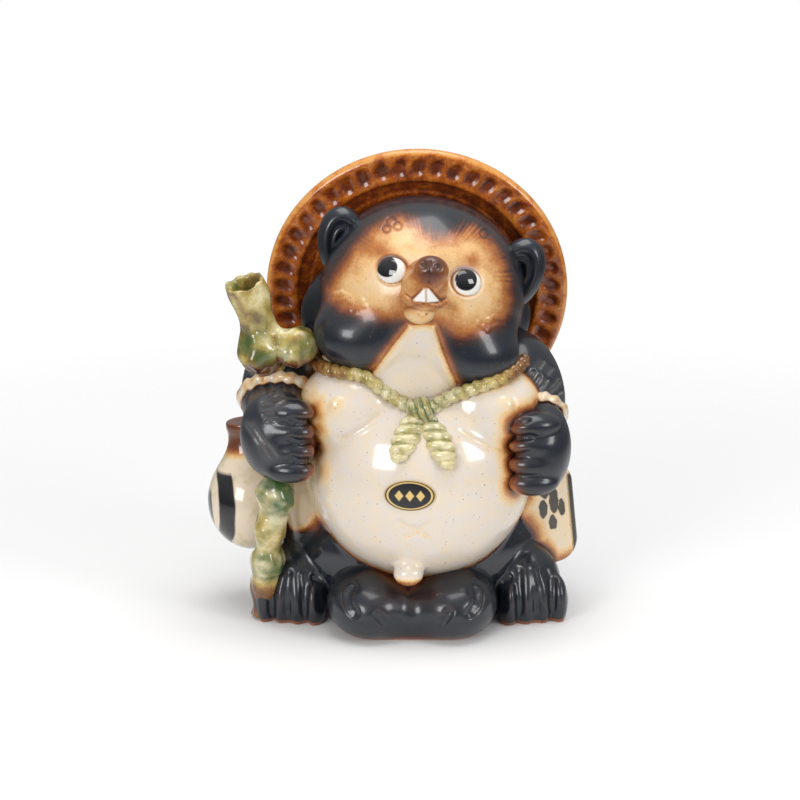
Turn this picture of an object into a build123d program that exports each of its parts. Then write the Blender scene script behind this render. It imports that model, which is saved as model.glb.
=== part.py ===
from build123d import *
import os

# A seated tanuki figure of glazed stoneware, 170 mm tall, that looks along -Y.
# Right and left are the figure's own: its right hand, with the staff, is on the -X side.
# The origin is on the table, under the middle of the figure.

# Clay work
body_wall = 4.5            # wall of the hollow torso casting
head_wall = 4.0            # wall of the hollow head casting
slip_gap = 0.15            # layer of slip between two pieces that are luted together
vent_bore = 14.0           # vent hole in the floor of the torso
vent_share = (0.0, 0.36, -1.0)
neck_bore = 16.0           # opening between the head and the torso
overrun = 12.0             # how far the outline of the label reaches through the belly's skin
cut_reach = 400.0          # side of the block that trims everything at the table

# Torso
belly_width = 79.0
belly_depth = 66.0
belly_height = 77.0
belly_level = 57.0         # middle of the belly above the table
belly_forward = 19.0       # middle of the belly in front of the origin
belly_side = 3.0           # the belly leans a little to the figure's left
hips_width = 96.0
hips_depth = 68.0
hips_height = 62.0
hips_level = 24.0
hips_back = 4.0
chest_width = 84.0
chest_depth = 46.0
chest_height = 44.0
chest_share = (0.0, 0.45, 0.70)
waist_width = 84.0
waist_depth = 46.0
waist_height = 72.0
waist_share = (-0.04, 0.51, -0.13)
breast_width = 40.0
breast_depth = 36.0
breast_height = 34.0
breast_share = (0.58, -0.15, 0.64)
nipple_width = 6.0
nipple_depth = 3.0
nipple_share = (-0.28, -0.86, 0.24)
tab_width = 7.0
tab_depth = 9.0
tab_height = 10.0
tab_share = (-0.11, -0.82, -0.76)

# Head
head_width = 72.0
head_depth = 64.0
head_height = 66.0
head_roll = 9.0            # degrees, towards the figure's left shoulder
head_share = (0.02, -0.35, 1.68)
jowl_width = 34.0
jowl_depth = 32.0
jowl_height = 27.0
jowl_share = (0.53, -0.44, -0.47)
nape_width = 82.0          # the fur behind the cheeks, which shows on both sides of the head
nape_depth = 24.0
nape_height = 56.0
nape_share = (-0.02, 0.34, -0.36)

# Muzzle with the nose and the lips
muzzle_width = 16.4
muzzle_depth = 22.0
muzzle_height = 18.0
muzzle_share = (-0.03, -0.86, 0.24)
nose_width = 12.0
nose_depth = 9.0
nose_height = 10.0
nose_share = (0.14, -0.70, 0.75)
chin_width = 9.0
chin_depth = 9.0
chin_height = 7.0
chin_share = (-0.05, -0.30, -1.0)

# Eyes and ears
eye_width = 11.5
eye_bulge = 5.0            # depth of the whole lens-shaped eye
eye_share = (0.37, -0.865, 0.335)
eye_yaw = 21.0             # degrees that an eye looks outwards
eye_pitch = 19.0           # degrees that it looks up
ear_width = 18.0
ear_depth = 12.0
ear_height = 27.0
ear_wall = 2.6
cup_share = (-0.05, -0.75, -0.02)
ear_splay = 14.0           # degrees that an ear leans away from the head
right_ear_share = (-0.84, -0.02, 0.36)
left_ear_share = (0.88, -0.02, 0.33)

# Hat, a shallow cone that stands behind the head with its hollow side forward
hat_radius = 54.2
hat_rim = 4.6              # thickness of the brim at its edge
hat_hollow = 9.0           # depth of the hollow, which seats on the back of the head
hat_rise = 19.0            # height of the cone behind the rim
hat_tilt = 11.0            # degrees that the hat leans forward
hat_share = (-0.03, 0.62, -0.18)
brim_share = 0.80          # where the flat of the brim ends, as a share of the radius
crown_share = 0.22         # half width of the blunt tip, as a share of the radius
crown_drop_share = 0.07    # how far the tip has fallen away at its edge, as a share of the rise
hollow_share = (0.62, 0.42)    # a bend in the hollow: share of the radius, share of its depth
band_share = (0.71, 0.79)  # inner and outer edge of the smooth band inside the pits
band_depth = 0.5
ring_shares = [0.30, 0.55, 0.78]   # grooves round the back, as shares of the radius
ring_depth = 0.5
ring_width = 1.2
pit_count = 46             # pits pressed into the front of the brim
pit_share = 0.885
pit_width = 5.2
pit_length = 6.6
pit_depth = 1.0

# Arms and hands
arm_width = 26.0
arm_depth = 34.0
arm_height = 42.0
right_arm_share = (-1.21, -0.24, 0.0)
left_arm_share = (0.90, -0.24, 0.06)
right_arm_lean = 6.0       # degrees about Y
left_arm_lean = -17.0
right_fist_width = 27.0
left_fist_width = 20.5
fist_depth = 28.0
fist_height = 33.0
right_fist_share = (0.16, -1.12, -0.52)
left_fist_share = (-0.04, -1.12, -0.84)
finger_count = 4
finger_length = 18.0
finger_depth = 12.0
finger_height = 9.4
finger_pitch = 6.9
finger_share = (0.30, -0.62, 0.0)
finger_turn = 12.0         # degrees that the fingers wrap round the fist

# Feet
foot_width = 26.0
foot_depth = 32.0
foot_height = 34.0
right_foot_share = (-0.86, -0.36, -0.46)
left_foot_share = (0.86, -0.36, -0.46)
foot_splay = 12.0          # degrees that each foot turns outwards
toe_count = 4
toe_width = 7.6
toe_depth = 13.0
toe_height = 19.0
toe_pitch = 6.1
toe_share = (0.0, -0.64, -0.16)

# Sac between the feet
sac_width = 32.0           # each of its two lobes
sac_depth = 37.0
sac_height = 25.0
sac_share = (0.30, -0.98, -0.42)
sac_bridge_width = 34.0    # the lower middle between the lobes
sac_bridge_depth = 32.0
sac_bridge_height = 22.0
sac_bridge_share = (0.0, -0.88, -0.55)

# Tail
tail_width = 28.0
tail_depth = 22.0
tail_height = 46.0
tail_lean = -16.0          # degrees about X, its tip lies against the back
tail_share = (0.10, 0.98, 0.08)

# Sake flask at the right hip
flask_radius = 16.0
flask_height = 36.0        # the round belly of the flask
flask_neck_radius = 4.6
flask_neck_height = 12.0   # from the round belly to the top of the lip
flask_share = (-1.22, -0.04, 0.48)
flask_lean = -5.0          # degrees about Y

# Account book at the left hip
book_width = 25.0
book_height = 37.0
book_thickness = 11.0
book_corner = 8.0          # rounding of its corners, seen from the front
book_edge = 2.0            # rounding of its edges
book_turn = 34.0           # degrees that its cover turns outwards
book_lean = -6.0           # degrees about Y
book_share = (0.98, -0.12, 0.34)

# Staff, from its foot near the table up to a hollow cut end
staff_height = 126.0
staff_radius = 4.6
staff_taper = 1.6          # it grows this much thicker on the way up
staff_mouth = 7.2          # radius of the flared cut end
staff_bore = 4.9           # radius of the hollow in the cut end
staff_bore_depth = 8.0
staff_clear = 1.0          # the foot of the staff ends this far over the table
staff_route_shares = [
    (-0.06, 0.13, -0.62), (-0.04, 0.06, -0.39), (-0.03, 0.03, -0.30), (-0.01, 0.02, -0.18),
    (0.0, 0.04, 0.0), (-0.01, 0.08, 0.14), (-0.04, 0.03, 0.27), (-0.088, -0.01, 0.434),
]                          # shares of the height, from the middle of the right hand
staff_knot_size = 13.0
staff_knot_share = (-0.01, 0.0, -0.18)
low_knot_size = 11.0
low_knot_share = (-0.04, 0.05, -0.39)
burl_size = 14.0
burl_shares = [(-0.055, 0.01, 0.232), (0.055, 0.01, 0.246)]

# Rope round the neck, with its knot and two tassels
rope_radius = 2.4
rope_bend = 6.0
rope_knot_size = 9.6
tassel_width = 8.4
tassel_depth = 5.0
tassel_length = 21.0
tassel_pitch = -31.0       # degrees about X, along the slope of the belly
tassel_spread = 25.0       # degrees that each tassel swings outwards
right_tassel_share = (-0.12, -0.84, 0.53)
left_tassel_share = (0.15, -0.85, 0.47)
knot_share = (0.0, -0.70, 0.73)
rope_end_share = (-0.93, -0.43, 0.77)
rope_right_shares = [(-0.65, -0.06, 0.92), (-0.30, -0.58, 0.89), (0.15, -0.71, 0.83), (0.62, -0.80, 0.44)]
rope_left_shares = [(-0.64, -0.85, 0.44), (-0.14, -0.86, 0.66), (0.36, -0.63, 0.84), (0.66, 0.0, 0.97)]

# Cord round each wrist
cord_width = 4.4
cord_height = 1.8
cord_tilt = 38.0           # degrees from level that the cord leans forward
right_cord_share = 0.14    # how far down the arm, as a share of its half height
left_cord_share = 0.50

# Oval paper label
label_width = 17.6
label_height = 10.8
label_thickness = 0.4
label_share = (-0.10, -1.0, 0.01)


def unit_ball():
    """A ball of radius 1 in two half faces, so that no face closes on itself when it is cut."""
    rim = ThreePointArc((0, -1), (1, 0), (0, 1))
    profile = make_face(Plane.XZ * (rim + Line((0, 1), (0, -1))))
    half = revolve(profile, Axis.Z, 180)
    skin = [face for face in half.faces() if face.geom_type != GeomType.PLANE]
    skin += [Rotation(0, 0, 180) * face for face in skin]
    return Rotation(90, 0, 0) * Solid(Shell(skin))


ball = unit_ball()


class Form:
    """A rounded lump of clay: its middle, its full size and its turn in degrees."""

    def __init__(self, middle, size, turn=(0, 0, 0)):
        self.size = size
        self.place = Pos(*middle) * Rotation(*turn)

    def solid(self, grow=0):
        """The lump, grown all round."""
        half = [length / 2 + grow for length in self.size]
        return self.place * scale(ball, by=tuple(half))

    def at(self, x_share, y_share, z_share, shift=(0, 0, 0)):
        """The point at these shares of the half sizes from the middle, plus a shift."""
        shares = (x_share, y_share, z_share)
        local = [share * length / 2 + more for share, length, more in zip(shares, self.size, shift)]
        return (self.place * Pos(*local)).position


def mirrored(share, side):
    return (share[0] * side, share[1], share[2])


def fused(forms, grow=0):
    joined = forms[0].solid(grow)
    for form in forms[1:]:
        joined = joined + form.solid(grow)
    return joined


def seated(shape, forms):
    """The shape, cut where each of these lumps lies, with room for the slip."""
    for form in forms:
        shape = shape - form.solid(slip_gap)
    return shape


def hollowed(shape, forms, wall, floor=0):
    for form in forms:
        shape = shape - above_table(form.solid(-wall), floor)
    return shape


def largest(shape):
    """The biggest solid of a cut shape, without crumbs that a cut leaves."""
    return max(shape.solids(), key=lambda solid: solid.volume)


def above_table(shape, clear=0):
    block = Box(cut_reach, cut_reach, cut_reach, align=(Align.CENTER, Align.CENTER, Align.MAX))
    return shape - Pos(0, 0, clear) * block


# The lumps that the figure is built from, each placed on the one that carries it
hips = Form((0, hips_back, hips_level), (hips_width, hips_depth, hips_height))
belly = Form((belly_side, -belly_forward, belly_level), (belly_width, belly_depth, belly_height))
chest = Form(belly.at(*chest_share), (chest_width, chest_depth, chest_height))
breasts = [
    Form(belly.at(*mirrored(breast_share, side)), (breast_width, breast_depth, breast_height))
    for side in (-1, 1)
]
waist = Form(belly.at(*waist_share), (waist_width, waist_depth, waist_height))
torso_forms = [hips, belly, waist, chest] + breasts

head_turn = (0, head_roll, 0)
head = Form(chest.at(*head_share), (head_width, head_depth, head_height), head_turn)
jowls = [
    Form(head.at(*mirrored(jowl_share, side)), (jowl_width, jowl_depth, jowl_height), head_turn)
    for side in (-1, 1)
]
nape = Form(head.at(*nape_share), (nape_width, nape_depth, nape_height))
head_forms = [head, nape] + jowls
muzzle = Form(head.at(*muzzle_share), (muzzle_width, muzzle_depth, muzzle_height), head_turn)
nose = Form(muzzle.at(*nose_share), (nose_width, nose_depth, nose_height), head_turn)
chin = Form(muzzle.at(*chin_share), (chin_width, chin_depth, chin_height), head_turn)

arm_size = (arm_width, arm_depth, arm_height)
right_arm = Form(chest.at(*right_arm_share), arm_size, (0, right_arm_lean, 0))
left_arm = Form(chest.at(*left_arm_share), arm_size, (0, left_arm_lean, 0))
right_fist = Form(right_arm.at(*right_fist_share), (right_fist_width, fist_depth, fist_height))
left_fist = Form(left_arm.at(*left_fist_share), (left_fist_width, fist_depth, fist_height))

foot_size = (foot_width, foot_depth, foot_height)
right_foot = Form(hips.at(*right_foot_share), foot_size, (0, 0, -foot_splay))
left_foot = Form(hips.at(*left_foot_share), foot_size, (0, 0, foot_splay))
lobes = [
    Form(hips.at(*mirrored(sac_share, side)), (sac_width, sac_depth, sac_height))
    for side in (-1, 1)
]
lobes.append(Form(hips.at(*sac_bridge_share), (sac_bridge_width, sac_bridge_depth, sac_bridge_height)))


def fingers(fist, side):
    """Four fingers that lie over each other and point at the belly."""
    row = []
    for number in range(finger_count):
        drop = ((finger_count - 1) / 2 - number) * finger_pitch
        middle = fist.at(*mirrored(finger_share, -side), shift=(0, 0, drop))
        row.append(Form(middle, (finger_length, finger_depth, finger_height), (0, 0, side * finger_turn)))
    return row


def toes(foot, side):
    row = []
    for number in range(toe_count):
        step = (number - (toe_count - 1) / 2) * toe_pitch
        middle = foot.at(*toe_share, shift=(step, 0, 0))
        row.append(Form(middle, (toe_width, toe_depth, toe_height), (0, 0, side * foot_splay)))
    return row


right_arm_forms = [right_arm, right_fist] + fingers(right_fist, -1)
left_arm_forms = [left_arm, left_fist] + fingers(left_fist, 1)
right_foot_forms = [right_foot] + toes(right_foot, -1)
left_foot_forms = [left_foot] + toes(left_foot, 1)


def staff_point(share):
    return right_fist.place.position + Vector(*share) * staff_height


def staff_solid(grow=0):
    """A crooked stick with knots, cut off square at its hollow top."""
    points = [staff_point(share) for share in staff_route_shares]
    last = len(points) - 1
    shape = Pos(*points[0]) * Sphere(staff_radius + grow)
    for number, (start, end) in enumerate(zip(points, points[1:])):
        thin = staff_radius + staff_taper * number / last + grow
        thick = staff_radius + staff_taper * (number + 1) / last + grow
        if number + 1 == last:
            thick = staff_mouth + grow
        way = end - start
        run = Cone(thin, thick, way.length, align=(Align.CENTER, Align.CENTER, Align.MIN))
        shape = shape + Plane(start, z_dir=way) * run
        if number + 1 < last:
            shape = shape + Pos(*end) * Sphere(thick)
    knots = [(staff_knot_share, staff_knot_size), (low_knot_share, low_knot_size)]
    knots += [(share, burl_size) for share in burl_shares]
    for share, size in knots:
        shape = shape + Pos(*staff_point(share)) * Sphere(size / 2 + grow)
    return above_table(shape, staff_clear - grow)


def staff():
    last, end = [staff_point(share) for share in staff_route_shares[-2:]]
    mouth = Plane(end, z_dir=last - end)
    bore = mouth * Cylinder(staff_bore, staff_bore_depth * 2)
    return largest(seated(staff_solid() - bore, torso_forms + head_forms + right_foot_forms))


def neck_opening():
    """The round way through the neck, from the middle of the head down into the torso."""
    axis = Plane(head.place.position, z_dir=head.place.position - belly.place.position)
    return axis * Cylinder(neck_bore / 2, head_height, align=(Align.CENTER, Align.CENTER, Align.MAX))


def body_shell():
    """The hollow torso, open at the neck and through the vent hole in its floor."""
    shape = fused(torso_forms)
    for side, breast in zip((1, -1), breasts):
        middle = breast.at(*mirrored(nipple_share, side))
        shape = shape + Form(middle, (nipple_width, nipple_depth, nipple_width)).solid()
    shape = shape + Form(belly.at(*tab_share), (tab_width, tab_depth, tab_height)).solid()
    vent_middle = hips.at(*vent_share)
    vent = Pos(vent_middle.X, vent_middle.Y, 0) * Cylinder(vent_bore / 2, body_wall * 4)
    shape = hollowed(above_table(shape), torso_forms, body_wall, body_wall)
    return largest(seated(shape - vent - neck_opening(), head_forms))


def head_shell():
    """The hollow head, open at the neck below."""
    return largest(hollowed(fused(head_forms), head_forms, head_wall) - neck_opening())


def muzzle_piece():
    return largest(seated(fused([muzzle, nose, chin]), [head]))


def eye(side):
    turn = (-eye_pitch, head_roll, side * eye_yaw)
    lens = Form(head.at(*mirrored(eye_share, side)), (eye_width, eye_bulge, eye_width), turn)
    return largest(seated(lens.solid(), [head, muzzle]))


def ear(side, share):
    """A cupped ear that opens forward."""
    turn = (0, head_roll + side * ear_splay, 0)
    shell = Form(head.at(*share), (ear_width, ear_depth, ear_height), turn)
    cup_size = (ear_width - 2 * ear_wall, ear_depth, ear_height - 2 * ear_wall)
    cup = Form(shell.at(*mirrored(cup_share, side)), cup_size, turn)
    return largest(seated(shell.solid() - cup.solid(), [head]))


def hat_back(radius):
    """How far the back of the hat lies behind its rim at this radius."""
    inner_rim = hat_radius - hat_rim / 2
    crown = hat_radius * crown_share
    edge_rise = hat_rise * (1 - crown_drop_share)
    return edge_rise - (edge_rise - hat_rim) * (radius - crown) / (inner_rim - crown)


def hat_back_points():
    """The back of the hat from its tip to its rim, with the grooves round it."""
    crown = hat_radius * crown_share
    points = [(0, hat_rise), (crown / 2, hat_rise), (crown, hat_back(crown))]
    for share in ring_shares:
        middle = share * hat_radius
        for radius, depth in ((middle - ring_width, 0), (middle, ring_depth), (middle + ring_width, 0)):
            points.append((radius, hat_back(radius) - depth))
    return points


def hat_front_points():
    """The front of the hat from its rim to its hollow, with the smooth band."""
    bend_radius, bend_depth = hollow_share
    inner, outer = band_share
    slope = hat_hollow * bend_depth / (brim_share - bend_radius)
    band = [(outer, band_depth), (inner, slope * (brim_share - inner) + band_depth)]
    points = [(hat_radius * brim_share, 0)] + [(hat_radius * share, depth) for share, depth in band]
    points.append((hat_radius * inner, slope * (brim_share - inner)))
    points.append((hat_radius * bend_radius, hat_hollow * bend_depth))
    points.append((hat_radius * crown_share, hat_hollow))
    return points + [(0, hat_hollow)]


def hat():
    """A shallow cone with a flat brim, turned about its own axis, and its ring of pits."""
    inner_rim = hat_radius - hat_rim / 2
    back = Polyline(*hat_back_points(), (inner_rim, hat_rim))
    edge = ThreePointArc((inner_rim, hat_rim), (hat_radius, hat_rim / 2), (inner_rim, 0))
    front = Polyline((inner_rim, 0), *hat_front_points())
    middle = Line((0, hat_hollow), (0, hat_rise))
    cone = revolve(make_face(Plane.XZ * (back + edge + front + middle)), Axis.Z)
    for number in range(pit_count):
        turn = Rotation(0, 0, 360 * (number + 0.5) / pit_count)
        pit = scale(ball, by=(pit_length / 2, pit_width / 2, pit_depth))
        cone = cone - turn * Pos(hat_radius * pit_share, 0, 0) * pit
    place = Pos(*head.at(*hat_share)) * Rotation(hat_tilt - 90, 0, 0)
    return largest(seated(place * cone, head_forms + [waist, chest]))


def right_arm_piece():
    arm = seated(fused(right_arm_forms), torso_forms + head_forms)
    return largest(arm - staff_solid(slip_gap))


def left_arm_piece():
    return largest(seated(fused(left_arm_forms), torso_forms + head_forms))


def foot(forms):
    return largest(seated(above_table(fused(forms)), [hips, belly]))


def front_sac():
    return largest(seated(above_table(fused(lobes)), [hips, belly] + right_foot_forms + left_foot_forms))


def tail():
    form = Form(hips.at(*tail_share), (tail_width, tail_depth, tail_height), (tail_lean, 0, 0))
    return largest(seated(above_table(form.solid()), [hips, waist]))


def sake_flask():
    """A round bottle whose neck leans on the back of the right hand."""
    shoulder = flask_height / 2
    top = shoulder + flask_neck_height
    round_belly = scale(ball, by=(flask_radius, flask_radius, shoulder))
    neck = Cylinder(flask_neck_radius, top, align=(Align.CENTER, Align.CENTER, Align.MIN))
    place = Pos(*hips.at(*flask_share)) * Rotation(0, flask_lean, 0)
    flask = seated(place * (round_belly + neck), [hips, waist, right_foot] + right_arm_forms)
    return largest(flask - staff_solid(slip_gap))


def account_book():
    outline = Plane.XZ * RectangleRounded(book_width, book_height, book_corner)
    cover = extrude(outline, book_thickness / 2, both=True)
    block = fillet(cover.faces().filter_by(Axis.Y).edges(), book_edge)
    place = Pos(*hips.at(*book_share)) * Rotation(0, book_lean, book_turn)
    return largest(seated(place * block, [hips, waist, left_foot] + left_arm_forms))


def neck_rope():
    """The rope round the neck, which dips between the breasts to its knot."""
    right_breast, left_breast = breasts
    knot = belly.at(*knot_share)
    route = [chest.at(*rope_end_share)]
    route += [right_breast.at(*share) for share in rope_right_shares]
    route.append(knot)
    route += [left_breast.at(*share) for share in rope_left_shares]
    path = FilletPolyline(*route, radius=rope_bend)
    rope = sweep(Plane(path @ 0, z_dir=path % 0) * Circle(rope_radius), path)
    rope = rope + Pos(*knot) * Sphere(rope_knot_size / 2)
    return largest(seated(rope, [belly, chest, right_arm, left_arm] + breasts + head_forms))


def tassel(side, share):
    size = (tassel_width, tassel_depth, tassel_length)
    form = Form(belly.at(*share), size, (tassel_pitch, -side * tassel_spread, 0))
    knot = Pos(*belly.at(*knot_share)) * Sphere(rope_knot_size / 2 + slip_gap)
    return largest(seated(form.solid(), [belly] + breasts) - knot)


def wrist_cord(forms, share):
    """A band that hugs the arm in a plane that leans forward."""
    upper = forms[0]
    down = Vector(0, 0, -1).rotate(Axis.X, -cord_tilt)
    middle = upper.place.position + down * (share * arm_height / 2)
    slab = Plane(middle, z_dir=down) * Box(arm_height * 2, arm_height * 2, cord_width)
    band = fused(forms[:2], cord_height) & slab
    return seated(band, forms[:2] + [chest, waist, belly] + breasts)


def right_wrist_cord():
    return largest(wrist_cord(right_arm_forms, right_cord_share) - staff_solid(slip_gap))


def belly_label():
    """A thin oval that follows the belly."""
    oval = Plane.XZ * Ellipse(label_width / 2, label_height / 2)
    prism = Pos(*belly.at(*label_share)) * extrude(oval, overrun, both=True)
    skin = belly.solid(slip_gap + label_thickness) - belly.solid(slip_gap)
    return largest(skin & prism)


pieces = {
    "body_shell": body_shell(),
    "head_shell": head_shell(),
    "muzzle": muzzle_piece(),
    "right_eye": eye(-1),
    "left_eye": eye(1),
    "right_ear": ear(-1, right_ear_share),
    "left_ear": ear(1, left_ear_share),
    "hat": hat(),
    "right_arm": right_arm_piece(),
    "left_arm": left_arm_piece(),
    "right_wrist_cord": right_wrist_cord(),
    "left_wrist_cord": largest(wrist_cord(left_arm_forms, left_cord_share)),
    "right_foot": foot(right_foot_forms),
    "left_foot": foot(left_foot_forms),
    "front_sac": front_sac(),
    "tail": tail(),
    "sake_flask": sake_flask(),
    "account_book": account_book(),
    "staff": staff(),
    "neck_rope": neck_rope(),
    "right_tassel": tassel(-1, right_tassel_share),
    "left_tassel": tassel(1, left_tassel_share),
    "belly_label": belly_label(),
}

os.makedirs("parts", exist_ok=True)
for name, piece in pieces.items():
    export_step(piece, f"parts/{name}.step")
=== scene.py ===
import math

import bpy
import numpy as np
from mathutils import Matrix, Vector


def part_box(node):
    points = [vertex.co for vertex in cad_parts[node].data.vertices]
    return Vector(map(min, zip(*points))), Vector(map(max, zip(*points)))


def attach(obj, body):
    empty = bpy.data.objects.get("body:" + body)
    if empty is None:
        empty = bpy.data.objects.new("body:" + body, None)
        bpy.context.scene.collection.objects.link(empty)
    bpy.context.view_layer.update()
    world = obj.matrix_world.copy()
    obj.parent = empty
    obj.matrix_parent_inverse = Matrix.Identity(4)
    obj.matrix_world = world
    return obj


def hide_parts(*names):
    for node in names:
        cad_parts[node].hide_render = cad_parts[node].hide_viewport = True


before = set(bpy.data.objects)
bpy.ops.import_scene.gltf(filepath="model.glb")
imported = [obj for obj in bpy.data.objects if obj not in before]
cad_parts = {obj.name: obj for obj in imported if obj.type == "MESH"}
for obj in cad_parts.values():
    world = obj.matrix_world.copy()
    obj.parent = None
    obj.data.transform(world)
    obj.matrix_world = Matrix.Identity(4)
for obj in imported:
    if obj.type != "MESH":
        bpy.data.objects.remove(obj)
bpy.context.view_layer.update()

# A seated tanuki figure of glazed stoneware. Lengths are in mm, and MM turns them into metres.
# Right and left are the figure's own: its right hand, with the staff, is on the -X side.
# A size is a width, depth and height. A share is the middle of a lump, in shares of the half sizes
# of the lump that carries it. Angles are in degrees unless radians are named.
MM = 0.001

# Torso
hips_size = (96.0, 68.0, 62.0)
hips_middle = (0.0, 4.0, 24.0)
belly_size = (79.0, 66.0, 77.0)
belly_middle = (3.0, -19.0, 57.0)  # the belly leans a little to the figure's left
chest_size = (84.0, 46.0, 44.0)
chest_share = (0.0, 0.45, 0.70)
waist_size = (84.0, 46.0, 72.0)
waist_share = (-0.04, 0.51, -0.13)
breast_size = (40.0, 36.0, 34.0)
breast_share = (0.58, -0.15, 0.64)
nipple_size = (6.0, 3.0, 6.0)
nipple_share = (-0.28, -0.86, 0.24)
tab_size = (10.5, 9.0, 8.5)
tab_share = (-0.11, -0.82, -0.76)
tab_drop = (0.0, 4.6, -2.2)  # back and down from its place on the belly
fill_size = (17.0, 22.0, 46.0)  # clay between the belly, the right arm and the staff
fill_middle = (-39.0, -6.0, 50.0)

# Head
head_size = (72.0, 64.0, 66.0)
head_share = (0.02, -0.35, 1.68)
head_roll = 9.0  # towards the figure's left shoulder
jowl_size = (34.0, 32.0, 27.0)
jowl_share = (0.53, -0.44, -0.47)
nape_size = (82.0, 24.0, 56.0)  # the fur behind the cheeks, which shows on both sides
nape_share = (-0.02, 0.34, -0.36)
throat_size = (30.0, 14.0, 26.0)  # the soft clay under the chin, down to the rope
throat_share = (0.02, -0.60, -0.82)
muzzle_size = (16.4, 22.0, 18.0)
muzzle_share = (-0.03, -0.86, 0.24)
nose_size = (12.0, 9.0, 10.0)
nose_share = (0.14, -0.70, 0.75)
lip_size = (17.4, 15.0, 4.4)
lip_share = (0.12, -0.28, -0.50)
chin_size = (10.8, 9.0, 8.4)
chin_share = (-0.05, -0.30, -1.0)
eye_size = (10.925, 5.0, 9.2)  # as much of the eye as its lids leave free
eye_share = (0.37, -0.865, 0.335)
eye_yaw = 21.0  # how far an eye looks outwards
eye_pitch = 19.0  # how far it looks up
eye_drop = -0.3
eye_shifts = (0.6, -0.5)  # sideways, right and left
ear_size = (18.0, 12.0, 27.0)
ear_wall = 2.6
ear_splay = 14.0  # how far an ear leans away from the head
cup_share = (-0.05, -0.75, -0.02)
cup_shift = (0.0, -2.2, 0.0)  # the bowl of an ear is shallow
right_ear_share = (-0.84, -0.02, 0.36)
left_ear_share = (0.88, -0.02, 0.33)

# Hat, a shallow cone that stands behind the head with its hollow side forward
hat_radius = 54.2
hat_rim = 4.6  # thickness of the brim at its edge
hat_hollow = 9.0  # depth of the hollow, which seats on the back of the head
hat_rise = 19.0  # height of the cone behind the rim
hat_tilt = 11.0  # how far the hat leans forward
hat_share = (-0.03, 0.62, -0.18)
brim_share = 0.80  # where the flat of the brim ends, of the radius
crown_share = 0.22  # half width of the blunt tip, of the radius
crown_drop_share = 0.07  # how far the tip has fallen away at its edge, of the rise
hollow_share = (0.62, 0.42)  # a bend in the hollow: of the radius, and of its depth
band_share = (0.71, 0.79)  # inner and outer edge of the smooth band inside the pits
band_depth = 0.5
ring_shares = [0.30, 0.55, 0.78]  # grooves round the back, of the radius
ring_depth = 0.5
ring_width = 0.012  # of the radius
rib_count = 96
rib_depth = 0.35
pit_count = 46  # pits pressed into the front of the brim
pit_share = 0.885
pit_width = 5.2
pit_length = 6.6
pit_depth = 1.0
pit_slant = 0.25
pit_power = 2.6  # 2 is an oval, more is squarer

# Arms and hands
arm_size = (26.0, 34.0, 42.0)
right_arm_share = (-1.21, -0.24, 0.0)
left_arm_share = (0.90, -0.24, 0.06)
right_arm_lean = 6.0
left_arm_lean = -17.0
right_fist_size = (27.0, 28.0, 33.0)
left_fist_size = (20.5, 28.0, 33.0)
right_fist_share = (0.16, -1.12, -0.52)
left_fist_share = (-0.04, -1.12, -0.84)
finger_size = (18.0, 12.0, 9.4)
finger_share = (0.30, -0.62, 0.0)
finger_count = 4
finger_pitch = 6.9
finger_turn = 12.0  # how far the fingers wrap round the fist
cord_width = 4.4  # cord round each wrist
cord_tilt = 38.0  # how far the cord leans forward from level
cord_lay = 0.35  # depth of its twist
right_cord_share = 0.14  # how far down the arm, of its half height
left_cord_share = 0.50

# Feet, the sac between them and the tail
foot_size = (26.0, 32.0, 34.0)
right_foot_share = (-0.86, -0.36, -0.46)
left_foot_share = (0.86, -0.36, -0.46)
foot_splay = 12.0  # how far each foot turns outwards
toe_size = (7.6, 13.0, 19.0)
toe_share = (0.0, -0.64, -0.16)
toe_count = 4
toe_pitch = 6.1
lobe_size = (32.0, 37.0, 25.0)
lobe_share = (0.30, -0.98, -0.42)
bridge_size = (34.0, 32.0, 22.0)  # the lower middle between the two lobes
bridge_share = (0.0, -0.88, -0.55)
notch_low = 17.6  # the lowest point of the V in the upper edge of the sac
notch_slope = 0.52
tail_size = (28.0, 22.0, 46.0)
tail_share = (0.10, 0.98, 0.08)
tail_lean = -16.0  # its tip lies against the back

# Sake flask at the right hip
flask_radius = 16.0
flask_height = 36.0  # the round belly of the flask
flask_neck_radius = 4.6
flask_neck_height = 12.0  # from the round belly to the top of the lip
flask_lip = 1.3
flask_share = (-1.22, -0.04, 0.48)
flask_lean = -5.0
flask_band = 3.4  # half width of the painted band

# Account book at the left hip
book_width = 25.0
book_height = 37.0
book_thickness = 11.0
book_corner = 8.0  # rounding of its corners, seen from the front
book_edge = 2.0  # rounding of its edges
book_spine = 3.2
book_turn = 34.0  # how far its cover turns outwards
book_lean = -6.0
book_share = (0.98, -0.12, 0.34)

# Staff, from its foot near the table up to a hollow cut end. Its shares are of its height, from the
# middle of the right hand.
staff_height = 126.0
staff_radius = 4.6
staff_taper = 1.6  # it grows this much thicker on the way up
staff_mouth = 7.2  # radius of the flared cut end
staff_bore = 4.9  # radius of the hollow in the cut end
staff_bore_depth = 8.0
staff_clear = 1.0  # the foot of the staff ends this far over the table
staff_route_shares = [
    (-0.06, 0.13, -0.62), (-0.04, 0.06, -0.39), (-0.03, 0.03, -0.30), (-0.01, 0.02, -0.18),
    (0.0, 0.04, 0.0), (-0.01, 0.08, 0.14), (-0.04, 0.03, 0.27), (-0.088, -0.01, 0.434),
]
staff_knots = [  # place and size of the two knots and the two burls
    ((-0.01, 0.0, -0.18), 13.0), ((-0.04, 0.05, -0.39), 11.0),
    ((-0.055, 0.01, 0.232), 14.0), ((0.055, 0.01, 0.246), 14.0),
]

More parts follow.
